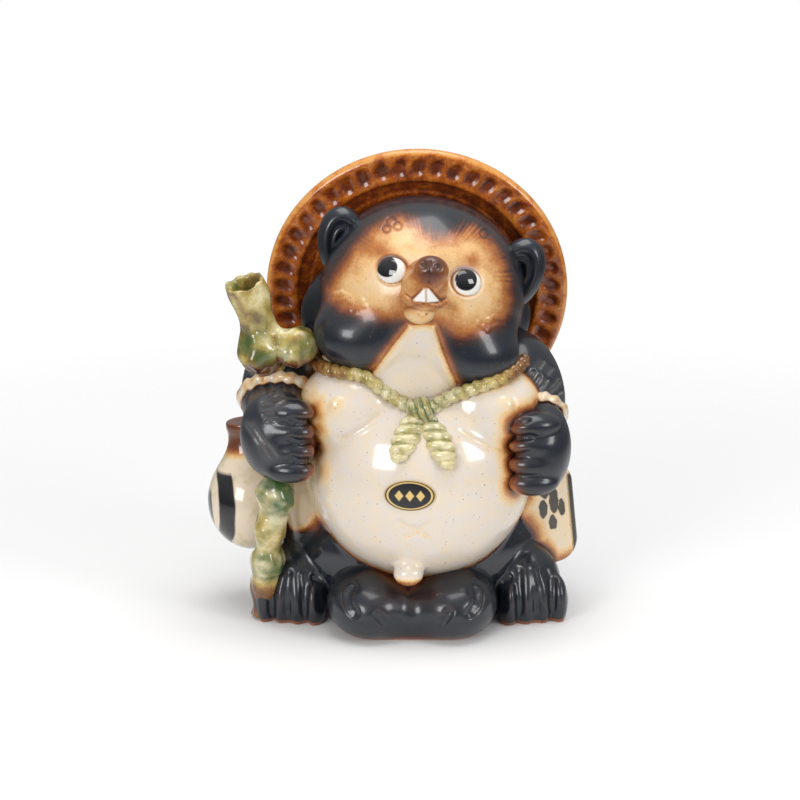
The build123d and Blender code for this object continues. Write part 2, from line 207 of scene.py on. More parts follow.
# Rope round the neck, with its knot and two tassels, and the oval paper label
rope_radius = 2.4
rope_pitch = 3.7
rope_slant = 0.33
rope_knot_size = 9.6
knot_share = (0.0, -0.70, 0.73)
rope_end_share = (-0.93, -0.43, 0.77)
rope_right_shares = [(-0.65, -0.06, 0.92), (-0.30, -0.58, 0.89), (0.15, -0.71, 0.83), (0.62, -0.80, 0.44)]
rope_left_shares = [(-0.64, -0.85, 0.44), (-0.14, -0.86, 0.66), (0.36, -0.63, 0.84), (0.66, 0.0, 0.97)]
tassel_size = (8.4, 5.0, 21.0)
tassel_pitch = -31.0  # along the slope of the belly
tassel_spread = 25.0  # how far each tassel swings outwards
tassel_lay_pitch = 3.9
right_tassel_share = (-0.12, -0.84, 0.53)
left_tassel_share = (0.15, -0.85, 0.47)
label_width = 17.6
label_height = 10.8
label_thickness = 0.4
label_gap = 0.2  # between the belly and the back of the label
label_share = (-0.10, -1.0, 0.01)

# Camera, in the photograph's frame of 800 by 800 pixels
PHOTO_MIDDLE = 400.0
FOCAL_PX = 2493.0
CAMERA_MM = np.array([-4.3, -869.3, 310.4])
CAMERA_DROP = math.radians(15)  # how far the camera looks down
SENSOR_MM = 36.0
PX_PER_MM = 2.85  # on the front of the figure

# Meshing
BLOCK = 8  # cells along one side of a block
FRINGE = 1.15  # how many block sides from the skin a block is still kept
CHUNK = 300  # blocks worked out at once
TINY = 1e-9
AXES = np.eye(3, dtype=int)
CORNERS = np.array([(0, 0, 0), (1, 0, 0), (0, 1, 0), (1, 1, 0), (0, 0, 1), (1, 0, 1), (0, 1, 1), (1, 1, 1)])
EDGES = [(0, 1), (2, 3), (4, 5), (6, 7), (0, 2), (1, 3), (4, 6), (5, 7), (0, 4), (1, 5), (2, 6), (3, 7)]
SLOPE_REACH = 0.25  # step for a slope, as a share of the cell or the reach
LEAST_SLOPE = 0.1
LONGEST_MOVE = 0.8  # of the cell, while a point settles on the skin
SETTLING_ROUNDS = 3
BEND_REACH = 1.3
CELLS = {
    "body_shell": 0.62, "head_shell": 0.5, "eye": 0.2, "muzzle": 0.3, "ear": 0.36, "arm": 0.45,
    "wrist_cord": 0.36, "foot": 0.45, "front_sac": 0.5, "tail": 0.5, "sake_flask": 0.36,
    "account_book": 0.27, "staff": 0.45, "neck_rope": 0.33, "tassel": 0.3,
}
WAVE_COUNT = 7
WAVE_PEAK = 1.3
WAVE_SPREAD = (0.6, 1.6)  # of the waves' lengths


def pixel(p):
    """Where points in mm lie in the photograph."""
    away = p - CAMERA_MM
    ahead = away[..., 1] * math.cos(CAMERA_DROP) - away[..., 2] * math.sin(CAMERA_DROP)
    up = away[..., 1] * math.sin(CAMERA_DROP) + away[..., 2] * math.cos(CAMERA_DROP)
    u = PHOTO_MIDDLE + FOCAL_PX * away[..., 0] / ahead
    v = PHOTO_MIDDLE - FOCAL_PX * up / ahead
    return np.stack((u, v), -1)


def smooth(low, high, x):
    """0 below low, 1 above high and an even ramp between; low may be the larger."""
    t = np.clip((x - low) / (high - low), 0, 1)
    return t * t * (3 - 2 * t)


def fade(gap, width):
    """1 at no gap, falling off over about this width."""
    return np.exp(-(gap / width) ** 2)


def blend(a, b, soft):
    """The nearer of two fields, with a soft valley between them."""
    t = np.clip(0.5 + 0.5 * (b - a) / soft, 0, 1)
    return b * (1 - t) + a * t - soft * t * (1 - t)


def carve(a, b, soft):
    """The first field without the second, with a soft edge."""
    return -blend(-a, b, soft)


def above_table(field, p):
    return np.maximum(field, -p[..., 2])


def joined(forms, p, soft, total=None):
    """Lumps that run into each other, and into a field that is there already."""
    for form in forms:
        value = form.field(p)
        total = value if total is None else blend(total, value, soft)
    return total


def near(forms, p):
    return np.min([form.field(p) for form in forms], axis=0)


def along(points, path):
    """The distance from points to a path of straight runs, and how far along it they lie."""
    best = np.full(points.shape[:-1], np.inf)
    place = np.zeros(points.shape[:-1])
    done = 0.0
    for start, end in zip(path, path[1:]):
        start = np.array(start, float)
        way = np.array(end, float) - start
        length = np.linalg.norm(way)
        t = np.clip(((points - start) @ way) / length ** 2, 0, 1)
        gap = np.linalg.norm(points - start - t[..., None] * way, axis=-1)
        nearer = gap < best
        best = np.where(nearer, gap, best)
        place = np.where(nearer, done + t * length, place)
        done += length
    return best, place / done


def inside(points, outline):
    """The distance in pixels inside a closed outline, negative outside it."""
    gap, _ = along(points, list(outline) + [outline[0]])
    odd = np.zeros(points.shape[:-1], bool)
    u, v = points[..., 0], points[..., 1]
    for (u1, v1), (u2, v2) in zip(outline, list(outline[1:]) + [outline[0]]):
        if v1 != v2:
            crosses = (v1 > v) != (v2 > v)
            odd ^= crosses & (u < u1 + (u2 - u1) * (v - v1) / (v2 - v1))
    return np.where(odd, gap, -gap)


def smooth_path(points, steps):
    """A curve through the points, by the uniform Catmull-Rom rule."""
    points = [np.array(point, float) for point in points]
    points = [2 * points[0] - points[1]] + points + [2 * points[-1] - points[-2]]
    curve = []
    for a, b, c, d in zip(points, points[1:], points[2:], points[3:]):
        for t in np.arange(steps) / steps:
            curve.append(0.5 * (2 * b + (c - a) * t + (2 * a - 5 * b + 4 * c - d) * t ** 2
                                + (3 * b - a - 3 * c + d) * t ** 3))
    return curve + [points[-2]]


def strokes(p, paths, width, taper=0.0):
    """How deep a point lies in strokes along paths in the photograph, from 0 to 1."""
    spots = pixel(p)
    depth = np.zeros(p.shape[:-1])
    for path in paths:
        gap, place = along(spots, path)
        mark = fade(gap, width * PX_PER_MM)
        if taper:
            mark = mark * smooth(0, taper, place) * smooth(1, 1 - taper, place)
        depth = np.maximum(depth, mark)
    return depth


def rings(p, places, width):
    """How near a point lies to circles (u, v, radius) in the photograph, from 0 to 1."""
    spots = pixel(p)
    best = np.zeros(p.shape[:-1])
    for u, v, radius in places:
        gap = np.abs(np.linalg.norm(spots - (u, v), axis=-1) - radius)
        best = np.maximum(best, fade(gap, width * PX_PER_MM))
    return best


def dots(p, places, width):
    return rings(p, [(u, v, 0) for u, v in places], width)


def waves(p, size, seed):
    """A smooth uneven pattern from -1 to 1, with lumps of about this size in mm."""
    rng = np.random.default_rng(seed)
    total = np.zeros(p.shape[:-1])
    for _ in range(WAVE_COUNT):
        way = rng.normal(size=3)
        way = way / np.linalg.norm(way) * rng.uniform(*WAVE_SPREAD) * math.pi / size
        total = total + np.sin(p @ way + rng.uniform(0, math.tau))
    return total / WAVE_COUNT ** 0.5 / WAVE_PEAK


def near_blocks(field, low, counts, side):
    index = np.stack(np.indices(counts), -1).reshape(-1, 3)
    middle = low + (index + 0.5) * side
    return index[np.abs(field(middle)) < side * FRINGE]


def name_of(at, spans):
    """One number for each cell of the grid."""
    return ((at[..., 0] + 1) * spans[1] + at[..., 1] + 1) * spans[2] + at[..., 2] + 1


def crossing_middle(values):
    """The mean of the places where a cell's edges cross the skin, in shares of the cell."""
    total = np.zeros((len(values), 3))
    count = np.zeros(len(values))
    for a, b in EDGES:
        va, vb = values[:, a], values[:, b]
        cut = (va < 0) != (vb < 0)
        t = np.where(cut, va / np.where(cut, va - vb, 1), 0)
        total += cut[:, None] * (CORNERS[a] + t[:, None] * (CORNERS[b] - CORNERS[a]))
        count += cut
    return total / count[:, None]


def crossed_faces(at, values, spans):
    """The faces round the grid's edges that cross the skin, one array for each axis."""
    faces = []
    for axis in range(3):
        e1, e2 = AXES[(axis + 1) % 3], AXES[(axis + 2) % 3]
        cut = (values[:, 0] < 0) != (values[:, 1 << axis] < 0)
        ring = np.stack([name_of(at[cut] - shift, spans) for shift in (e1 + e2, e2, 0 * e1, e1)], -1)
        flip = values[cut, 0] >= 0
        ring[flip] = ring[flip][:, ::-1]
        faces.append(ring)
    return faces


def skin(field, low, high, cell):
    """The zero surface of a field inside a box, as points in mm and four-sided faces."""
    low = low - 2 * cell
    side = cell * BLOCK
    counts = np.ceil((high + 2 * cell - low) / side).astype(int)
    blocks = near_blocks(field, low, counts, side)
    steps = np.stack(np.indices((BLOCK + 1,) * 3), -1)
    spans = counts * BLOCK + 2
    names, spots, faces = [], [], []
    for first in range(0, len(blocks), CHUNK):
        base = blocks[first:first + CHUNK] * BLOCK
        grid = base[:, None, None, None, :] + steps
        value = field(low + grid * cell)
        corner = [value[:, x:x + BLOCK, y:y + BLOCK, z:z + BLOCK] for x, y, z in CORNERS]
        filled = sum((part < 0).astype(int) for part in corner)
        live = (filled > 0) & (filled < len(CORNERS))
        at = grid[:, :BLOCK, :BLOCK, :BLOCK][live]
        values = np.stack([part[live] for part in corner], -1)
        spots.append(low + (at + crossing_middle(values)) * cell)
        names.append(name_of(at, spans))
        faces += crossed_faces(at, values, spans)
    names = np.concatenate(names)
    order = np.argsort(names)
    names, spots = names[order], np.concatenate(spots)[order]
    faces = np.concatenate(faces)
    place = np.clip(np.searchsorted(names, faces), 0, len(names) - 1)
    whole = (names[place] == faces).all(-1)
    return spots, place[whole]


def slope_of(field, p, reach):
    value = field(p)
    rise = [field(p + reach * axis) - value for axis in AXES]
    return value, np.stack(rise, -1) / reach


def settled(field, spots, cell):
    """The points, moved along the field's slope onto its zero surface."""
    for _ in range(SETTLING_ROUNDS):
        value, slope = slope_of(field, spots, cell * SLOPE_REACH)
        steep = np.maximum((slope * slope).sum(-1), LEAST_SLOPE)
        move = np.clip(value / steep, -cell * LONGEST_MOVE, cell * LONGEST_MOVE)
        spots = spots - move[:, None] * slope
    return spots


def bend_of(field, spots, reach):
    """How sharply the surface bends at each point: above zero on edges, below in creases."""
    value, slope = slope_of(field, spots, reach * SLOPE_REACH)
    normal = slope / np.maximum(np.linalg.norm(slope, axis=-1, keepdims=True), TINY)
    side = np.cross(normal, np.where(np.abs(normal[:, :1]) < 0.7, (1.0, 0, 0), (0, 1.0, 0)))
    side = side / np.linalg.norm(side, axis=-1, keepdims=True)
    other = np.cross(normal, side)
    total = sum(field(spots + reach * way) for way in (side, -side, other, -other))
    return (total / 4 - value) / reach, normal


def added(name, data):
    """A Blender object of this data, in the scene."""
    made = bpy.data.objects.new(name, data)
    bpy.context.scene.collection.objects.link(made)
    return made


def mesh_object(name, spots, faces, paints):
    """A Blender mesh from points in mm, faces of one size and values for each point."""
    mesh = bpy.data.meshes.new(name)
    corners = faces.shape[1]
    mesh.vertices.add(len(spots))
    mesh.vertices.foreach_set("co", (spots * MM).ravel())
    mesh.loops.add(faces.size)
    mesh.loops.foreach_set("vertex_index", faces.ravel().astype(np.int32))
    mesh.polygons.add(len(faces))
    mesh.polygons.foreach_set("loop_start", np.arange(len(faces), dtype=np.int32) * corners)
    mesh.polygons.foreach_set("loop_total", np.full(len(faces), corners, np.int32))
    mesh.polygons.foreach_set("use_smooth", np.ones(len(faces), bool))
    mesh.update(calc_edges=True)
    for paint, values in paints.items():
        layer = mesh.attributes.new(paint, "FLOAT", "POINT")
        layer.data.foreach_set("value", np.asarray(values, np.float32).ravel())
    return added(name, mesh)


def wound_faces(rows, columns):
    """The faces of a grid whose last column meets its first."""
    row, column = np.meshgrid(np.arange(rows - 1), np.arange(columns), indexing="ij")
    after = (column + 1) % columns
    corners = (row * columns + column, row * columns + after,
               (row + 1) * columns + after, (row + 1) * columns + column)
    return np.stack(corners, -1).reshape(-1, 4)


def dressed(piece, material, node):
    piece.data.materials.append(material)
    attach(piece, "root")
    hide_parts(node)


def sculpt(name, field, paint, material, rough=None, margin=2.0):
    """A glazed piece whose skin is the zero surface of a field, painted point by point."""
    cell = CELLS[name.removeprefix("right_").removeprefix("left_")]
    low, high = np.array(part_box(name)) / MM
    spots, faces = skin(rough or field, low - margin, high + margin, cell)
    spots = settled(field, spots, cell)
    spots[:, 2] = np.maximum(spots[:, 2], 0)
    bend, normal = bend_of(field, spots, BEND_REACH)
    dressed(mesh_object("glazed_" + name, spots, faces, paint(spots, normal, bend)), material, name)


def turned(turn):
    """The rotation matrix for turns about X, then Y, then Z of the piece itself."""
    x, y, z = [math.radians(angle) for angle in turn]
    about_x = np.array([[1, 0, 0], [0, math.cos(x), -math.sin(x)], [0, math.sin(x), math.cos(x)]])
    about_y = np.array([[math.cos(y), 0, math.sin(y)], [0, 1, 0], [-math.sin(y), 0, math.cos(y)]])
    about_z = np.array([[math.cos(z), -math.sin(z), 0], [math.sin(z), math.cos(z), 0], [0, 0, 1]])
    return about_x @ about_y @ about_z


class Form:
    """A rounded lump of clay: its middle, its full size and its turn."""

    def __init__(self, middle, size, turn=(0, 0, 0)):
        self.middle = np.array(middle, float)
        self.half = np.array(size, float) / 2
        self.turn = turned(turn)

    def at(self, share, shift=(0, 0, 0)):
        """The point at these shares of the half sizes from the middle, plus a shift."""
        return self.middle + self.turn @ (np.array(share) * self.half + np.array(shift))

    def local(self, p):
        return (p - self.middle) @ self.turn

    def field(self, p, grow=0.0):
        """About the distance from the lump's skin, negative inside."""
        half = self.half + grow
        q = self.local(p) / half
        ratio = np.sqrt((q * q).sum(-1))
        slope = np.sqrt(((q / half) ** 2).sum(-1))
        return ratio * (ratio - 1) / np.maximum(slope, TINY)


def mirrored(share, side):
    return (share[0] * side, share[1], share[2])


def pair(carrier, share, size, turn=(0, 0, 0)):
    """The same lump on the right and on the left."""
    return [Form(carrier.at(mirrored(share, side)), size, turn) for side in (-1, 1)]


def row(carrier, share, size, yaw, count, step):
    """Lumps side by side on another, each one step from the one before."""
    places = [(number - (count - 1) / 2) * np.array(step) for number in range(count)]
    return [Form(carrier.at(share, place), size, (0, 0, yaw)) for place in places]


def fingers(fist, side):
    """Fingers that lie over each other and point at the belly."""
    share = mirrored(finger_share, -side)
    return row(fist, share, finger_size, side * finger_turn, finger_count, (0, 0, -finger_pitch))


def toes(foot, side):
    return row(foot, toe_share, toe_size, side * foot_splay, toe_count, (toe_pitch, 0, 0))


# The lumps that the figure is built from, each placed on the one that carries it
hips = Form(hips_middle, hips_size)
belly = Form(belly_middle, belly_size)
chest = Form(belly.at(chest_share), chest_size)
waist = Form(belly.at(waist_share), waist_size)
breasts = pair(belly, breast_share, breast_size)
nipples = [
    Form(breast.at(mirrored(nipple_share, side)), nipple_size) for side, breast in zip((1, -1), breasts)
]
tab = Form(belly.at(tab_share, tab_drop), tab_size)
fill = Form(fill_middle, fill_size)

head_turn = (0, head_roll, 0)
head = Form(chest.at(head_share), head_size, head_turn)
jowls = pair(head, jowl_share, jowl_size, head_turn)
nape = Form(head.at(nape_share), nape_size)
head_forms = [head, nape] + jowls
throat = Form(head.at(throat_share), throat_size)
muzzle = Form(head.at(muzzle_share), muzzle_size, head_turn)
nose = Form(muzzle.at(nose_share), nose_size, head_turn)
lip = Form(muzzle.at(lip_share), lip_size, head_turn)
chin = Form(muzzle.at(chin_share), chin_size, head_turn)
eyes = [
    Form(head.at(mirrored(eye_share, side)) + np.array((shift, 0, eye_drop)), eye_size,
         (-eye_pitch, head_roll, side * eye_yaw))
    for side, shift in zip((-1, 1), eye_shifts)
]

right_arm = Form(chest.at(right_arm_share), arm_size, (0, right_arm_lean, 0))
left_arm = Form(chest.at(left_arm_share), arm_size, (0, left_arm_lean, 0))
right_fist = Form(right_arm.at(right_fist_share), right_fist_size)
left_fist = Form(left_arm.at(left_fist_share), left_fist_size)
right_arm_forms = [right_arm, right_fist] + fingers(right_fist, -1)
left_arm_forms = [left_arm, left_fist] + fingers(left_fist, 1)

right_foot = Form(hips.at(right_foot_share), foot_size, (0, 0, -foot_splay))
left_foot = Form(hips.at(left_foot_share), foot_size, (0, 0, foot_splay))
right_foot_forms = [right_foot] + toes(right_foot, -1)
left_foot_forms = [left_foot] + toes(left_foot, 1)
lobes = pair(hips, lobe_share, lobe_size) + [Form(hips.at(bridge_share), bridge_size)]
tail = Form(hips.at(tail_share), tail_size, (tail_lean, 0, 0))


# Materials. Each point of a glazed piece carries how far its glaze is burnt: 0 is cream, 1 is black.
BURN_RAMP = [
    (0.0, (0.73, 0.655, 0.58)), (0.14, (0.82, 0.66, 0.44)), (0.30, (0.80, 0.50, 0.22)),
    (0.46, (0.46, 0.165, 0.040)), (0.62, (0.18, 0.050, 0.020)), (0.80, (0.042, 0.018, 0.015)),
    (1.0, (0.010, 0.0145, 0.022)),
]
HAT_RAMP = [
    (0.0, (0.72, 0.33, 0.08)), (0.30, (0.52, 0.135, 0.012)), (0.60, (0.22, 0.042, 0.008)),
    (1.0, (0.045, 0.014, 0.008)),
]
STAFF_RAMP = [
    (0.0, (0.80, 0.72, 0.46)), (0.30, (0.50, 0.38, 0.11)), (0.55, (0.28, 0.13, 0.030)),
    (0.80, (0.14, 0.030, 0.012)), (1.0, (0.030, 0.014, 0.012)),
]
GREEN = (0.060, 0.120, 0.035)
WHITE = (0.90, 0.88, 0.83)
INK = (0.008, 0.008, 0.010)
SPECK = (0.16, 0.07, 0.03)
GOLD = (0.72, 0.50, 0.18)
LAYERS = ("green", "pale", "ink", "gold")
CLOUD_SPAN = (0.3, 0.7, -0.5, 0.5)  # the noise's useful range, and what it becomes
GREEN_SPAN = (0.05, 0.95)
SPECK_SPAN = (0.735, 0.775)
SPECK_SIZE = 0.9
SPECK_COVER = 0.75
RIPPLE_SIZE = 3.0  # of the bumps in the glaze
RIM_HEIGHT = 1.3  # the glaze is wiped off the foot up to here
RIM_BURN = 0.58
POOL_BEND = -0.30
POOL_LIMIT = 0.7  # darker glaze than this doesn't pool
EDGE_BENDS = (0.10, 0.45)
EDGE_BURNS = (0.6, 0.9)  # only dark glaze breaks on edges


class Nodes:
    """A node tree, built step by step."""

    def __init__(self, tree):
        self.tree = tree

    def feed(self, socket, value):
        """Gives a socket another socket's value, a number or a colour."""
        if isinstance(value, bpy.types.NodeSocket):
            self.tree.links.new(value, socket)
        else:
            socket.default_value = (*value, 1) if isinstance(value, tuple) else value

    def node(self, kind, feeds=(), **settings):
        made = self.tree.nodes.new(kind)
        for key, value in settings.items():
            setattr(made, key, value)
        for key, value in dict(feeds).items():
            self.feed(made.inputs[key], value)
        return made

    def spread(self, value, low, high, to_low=0.0, to_high=1.0):
        feeds = {"Value": value, "From Min": low, "From Max": high, "To Min": to_low, "To Max": to_high}
        return self.node("ShaderNodeMapRange", feeds).outputs["Result"]


class Painter(Nodes):
    """A node material on object coordinates."""

    def __init__(self, name, roughness, coat, coat_roughness=0.02):
        self.material = bpy.data.materials.new(name)
        self.material.use_nodes = True
        super().__init__(self.material.node_tree)
        self.shader = self.tree.nodes["Principled BSDF"]
        looks = {"Roughness": roughness, "Coat Weight": coat, "Coat Roughness": coat_roughness}
        for key, value in looks.items():
            self.feed(self.shader.inputs[key], value)
        self.place = self.node("ShaderNodeTexCoord").outputs["Object"]

    def attribute(self, name):
        return self.node("ShaderNodeAttribute", attribute_name=name).outputs["Fac"]

    def noise(self, size, detail=3.0):
        """Noise with features of about this size in mm."""
        feeds = {"Scale": 1 / (size * MM), "Detail": detail, "Vector": self.place}
        return self.node("ShaderNodeTexNoise", feeds).outputs["Fac"]

    def sum(self, a, b, factor):
        """a plus factor times b."""
        return self.node("ShaderNodeMath", {0: b, 1: factor, 2: a}, operation="MULTIPLY_ADD").outputs[0]

    def ramp(self, value, stops):
        made = self.node("ShaderNodeValToRGB", {"Fac": value})
        line = made.color_ramp.elements
        for place, _ in stops[2:]:
            line.new(place)
        for element, (place, colour) in zip(line, stops):
            element.position = place
            element.color = (*colour, 1)
        return made.outputs["Color"]

    def mix(self, fac, first, second):
        """Colour sockets or plain colours, mixed by a value socket."""
        return self.node("ShaderNodeMix", {"Factor": fac, 6: first, 7: second}, data_type="RGBA").outputs[2]

    def finish(self, colour, bumps, depth):
        """Connects the colour, and a bump of this depth in mm."""
        bump = self.node("ShaderNodeBump", {"Strength": 1.0, "Distance": depth * MM, "Height": bumps})
        self.feed(self.shader.inputs["Base Color"], colour)
        self.feed(self.shader.inputs["Normal"], bump.outputs["Normal"])
        return self.material


def glaze(name, stops, uneven=0.10, patch=5.0, specks=1.0, depth=0.05, greens=False, roughness=0.16,
          coat=0.5, coat_roughness=0.02):
    """A glaze whose colour follows the burn of each point, uneven and speckled."""
    paint = Painter(name, roughness, coat, coat_roughness)
    soft = paint.spread(paint.noise(patch), *CLOUD_SPAN)
    fine = paint.spread(paint.noise(patch / 6, 4.0), *CLOUD_SPAN)
    burn = paint.sum(paint.sum(paint.attribute("burn"), soft, uneven), fine, uneven / 2)
    colour = paint.ramp(burn, stops)
    if greens:
        flow = paint.sum(paint.attribute("green"), soft, 0.5)
        colour = paint.mix(paint.spread(flow, *GREEN_SPAN), colour, GREEN)
    if specks:
        cover = paint.spread(paint.noise(SPECK_SIZE, 1.0), *SPECK_SPAN, 0, SPECK_COVER * specks)
        colour = paint.mix(cover, colour, SPECK)
    for layer, tint in (("pale", WHITE), ("ink", INK), ("gold", GOLD)):
        colour = paint.mix(paint.attribute(layer), colour, tint)
    return paint.finish(colour, paint.noise(RIPPLE_SIZE, 2.0), depth)


clay = glaze("burnt_cream_glaze", BURN_RAMP, coat_roughness=0.05)
dark = glaze("blue_black_glaze", BURN_RAMP, uneven=0.06, specks=0, depth=0.06, roughness=0.30,
             coat=0.30, coat_roughness=0.10)
satin = glaze("satin_face_glaze", BURN_RAMP, roughness=0.30, coat=0.30, coat_roughness=0.08)
amber = glaze("amber_glaze", HAT_RAMP, uneven=0.45, patch=4.0, specks=0.4, depth=0.10, roughness=0.22,
              coat=0.25, coat_roughness=0.08)
olive = glaze("olive_glaze", STAFF_RAMP, uneven=0.25, patch=5.0, specks=0.3, greens=True)
twist = glaze("rope_glaze", STAFF_RAMP, uneven=0.16, patch=3.0, specks=0.3, greens=True)
pot = glaze("flask_glaze", BURN_RAMP, uneven=0.08, patch=6.0, greens=True)
enamel = glaze("eye_glaze", BURN_RAMP, uneven=0.02, specks=0, depth=0.0, roughness=0.06)
paper = glaze("label_paper", BURN_RAMP, uneven=0.02, specks=0, depth=0.02, roughness=0.35)


def paints(burn, **layers):
    """The values that the glaze reads at each point."""
    whole = np.zeros(burn.shape)
    return {"burn": burn, **{layer: whole + layers.get(layer, 0.0) for layer in LAYERS}}


def glazed(burn, bend, p, crease=0.5, edge=0.22):
    """Burn that pools in creases, breaks on edges and turns red-brown at the bare foot."""
    pooled = burn + crease * smooth(0, POOL_BEND, bend) * (burn < POOL_LIMIT)
    broken = pooled - edge * smooth(*EDGE_BENDS, bend) * smooth(*EDGE_BURNS, burn)
    return np.where(p[:, 2] < RIM_HEIGHT, RIM_BURN, np.clip(broken, 0, 1))


def burnt(burn, gap, stops):
    """The burn, raised to what the gap to a piece beside it asks for."""
    return np.maximum(burn, np.interp(gap, *stops))


def plain_black(p, normal, bend):
    return paints(glazed(np.ones(len(p)), bend, p))


# Torso and legs. From here on, paths and outlines are pixels of the photograph, and a pair of rows
# named BURNS gives the burn at gaps in mm or in pixels.
BIB_OUTLINE = [
    (409, 326), (434, 326), (439, 343), (446, 362), (456, 386), (460, 396), (424, 430), (396, 424),
    (364, 388), (372, 374), (390, 350),
]
NAVEL_ARC = [[(396, 518), (404, 526), (417, 529), (427, 525), (434, 519)]]
NAVEL_CROSS = [[(426, 528), (415, 533), (404, 539)], [(409, 528), (420, 533), (432, 540)]]
BREAST_LINES = [
    [(330, 440), (348, 436), (368, 424), (388, 408)], [(456, 428), (474, 440), (490, 448), (507, 452)],
]
TRUNK_SOFT = 8
BREAST_SOFT = 2.2
FILL_SOFT = 4
TAB_SOFT = 3.0
HIPS_SOFT = 2.5
NIPPLE_SOFT = 1.4
NAVEL_DEPTH = 0.6
BREAST_LINE_DEPTH = 0.9
LEG_BURNS = ((-6, -3, -1.2, 0.0, 1.2), (0.03, 0.12, 0.40, 0.72, 1.0))
ARM_BURNS = ((0, 1.2, 3.5, 7), (0.80, 0.55, 0.26, 0.0))
SKULL_BURNS = ((0, 1.5, 4), (0.85, 0.45, 0.0))


def trunk_field(p):
    trunk = joined([belly, waist, chest], p, TRUNK_SOFT)
    trunk = joined(breasts, p, BREAST_SOFT, trunk)
    trunk = joined([fill], p, FILL_SOFT, trunk)
    return joined([tab], p, TAB_SOFT, trunk)


def torso_base(p):
    return above_table(blend(trunk_field(p), hips.field(p), HIPS_SOFT), p)


def torso_field(p):
    trunk = joined(nipples, p, NIPPLE_SOFT, trunk_field(p))
    trunk = trunk + NAVEL_DEPTH * (strokes(p, NAVEL_ARC, 1.1, 0.2) + strokes(p, NAVEL_CROSS, 0.8, 0.2))
    trunk = trunk + BREAST_LINE_DEPTH * strokes(p, BREAST_LINES, 0.9, 0.25)
    return above_table(blend(trunk, hips.field(p), HIPS_SOFT), p)


def torso_paint(p, normal, bend):
    burn = np.interp(trunk_field(p) - hips.field(p), *LEG_BURNS)
    burn = burnt(burn, near(right_arm_forms + left_arm_forms, p), ARM_BURNS)
    skull = near(head_forms, p) + 6 * smooth(-6, 2, inside(pixel(p), BIB_OUTLINE))
    burn = burnt(burn, skull, SKULL_BURNS)
    tab_edge = smooth(1.5, 0.5, tab.field(p)) * smooth(0.5, -2.5, p[:, 2] - tab.middle[2])
    navel = strokes(p, NAVEL_CROSS, 0.5, 0.2)
    for mark in (smooth(-8, 2, p[:, 1]), 0.16 * fade(near(nipples, p), 0.8), 0.15 * navel, 0.46 * tab_edge):
        burn = np.maximum(burn, mark)
    side = smooth(-30, -38, p[:, 0]) * smooth(30, 36, p[:, 2]) * smooth(4, -6, p[:, 1])
    burn = burn * (1 - 0.75 * side) + 0.12 * side
    return paints(glazed(burn, bend, p, 0.12), green=0.25 * side)


sculpt("body_shell", torso_field, torso_paint, clay, rough=torso_base)


# Head
FACE_OUTLINE = [
    (322, 290), (336, 266), (352, 244), (368, 227), (386, 216), (400, 213), (416, 217), (428, 227),
    (440, 234), (453, 230), (467, 223), (483, 228), (497, 242), (506, 260), (512, 280), (515, 299),
    (512, 314), (500, 327), (482, 338), (458, 340), (441, 332), (432, 326), (410, 326), (399, 323),
    (382, 323), (362, 319), (341, 312), (326, 303),
]
FACE_MIDDLE = (430, 278)
HAIR_WAVES = (61, 17, 103)  # hairs round the face
SHADES = [  # place, stretch and burn of the shades on brows and cheeks
    ((382, 251), (1.6, 1), 0.20), ((471, 262), (1.6, 1), 0.20),
    ((400, 297), (1, 1.5), 0.12), ((455, 305), (1, 1.5), 0.12),
]
SHADE_SIZE = 9
CURLS = [(391, 222, 4.5), (386, 229, 3.6), (397, 226, 4.0), (484, 234, 4.0)]
WHISKERS = [
    [(333, 303), (345, 298), (356, 304)], [(330, 295), (341, 291), (352, 297)],
    [(482, 322), (494, 316), (508, 318)], [(484, 330), (497, 325), (509, 326)],
]
WHISKER_DOTS = [
    (350, 309), (357, 311), (364, 306), (362, 300), (478, 322), (484, 327), (490, 321), (488, 331),
]
BIB_EDGES = [[(411, 332), (398, 350), (377, 372)], [(432, 332), (441, 356), (454, 384)]]
NAPE_SOFT = 3
JOWL_SOFT = 6
THROAT_SOFT = 3
BIB_RISE = 0.9
SOCKET_DEPTH = 0.22
CURL_DEPTH = 0.25
WHISKER_RISE = 0.3
DOT_RISE = 0.35
BIB_EDGE_RISE = 0.5
FACE_BURNS = ((-9, -3, 3, 9, 18, 36), (1.0, 0.86, 0.62, 0.47, 0.33, 0.22))
BIB_BURNS = ((-12, -7, -3, 1, 6), (1.0, 0.72, 0.46, 0.24, 0.05))


def head_front(p):
    """1 on the side of the head that looks forward, 0 behind."""
    return smooth(0.15, -0.15, head.local(p)[..., 1] / head.half[1])


def head_base(p):
    skull = blend(joined([head, nape], p, NAPE_SOFT), near(jowls, p), JOWL_SOFT)
    return blend(skull, throat.field(p), THROAT_SOFT)


def head_field(p):
    detail = BIB_RISE * smooth(-2, 3, inside(pixel(p), BIB_OUTLINE))
    detail = detail - CURL_DEPTH * rings(p, CURLS, 0.45) + WHISKER_RISE * strokes(p, WHISKERS, 0.5, 0.3)
    detail = detail + DOT_RISE * dots(p, WHISKER_DOTS, 0.7) + BIB_EDGE_RISE * strokes(p, BIB_EDGES, 0.9)
    return head_base(p) + head_front(p) * (SOCKET_DEPTH * fade(near(eyes, p), 0.7) - detail)


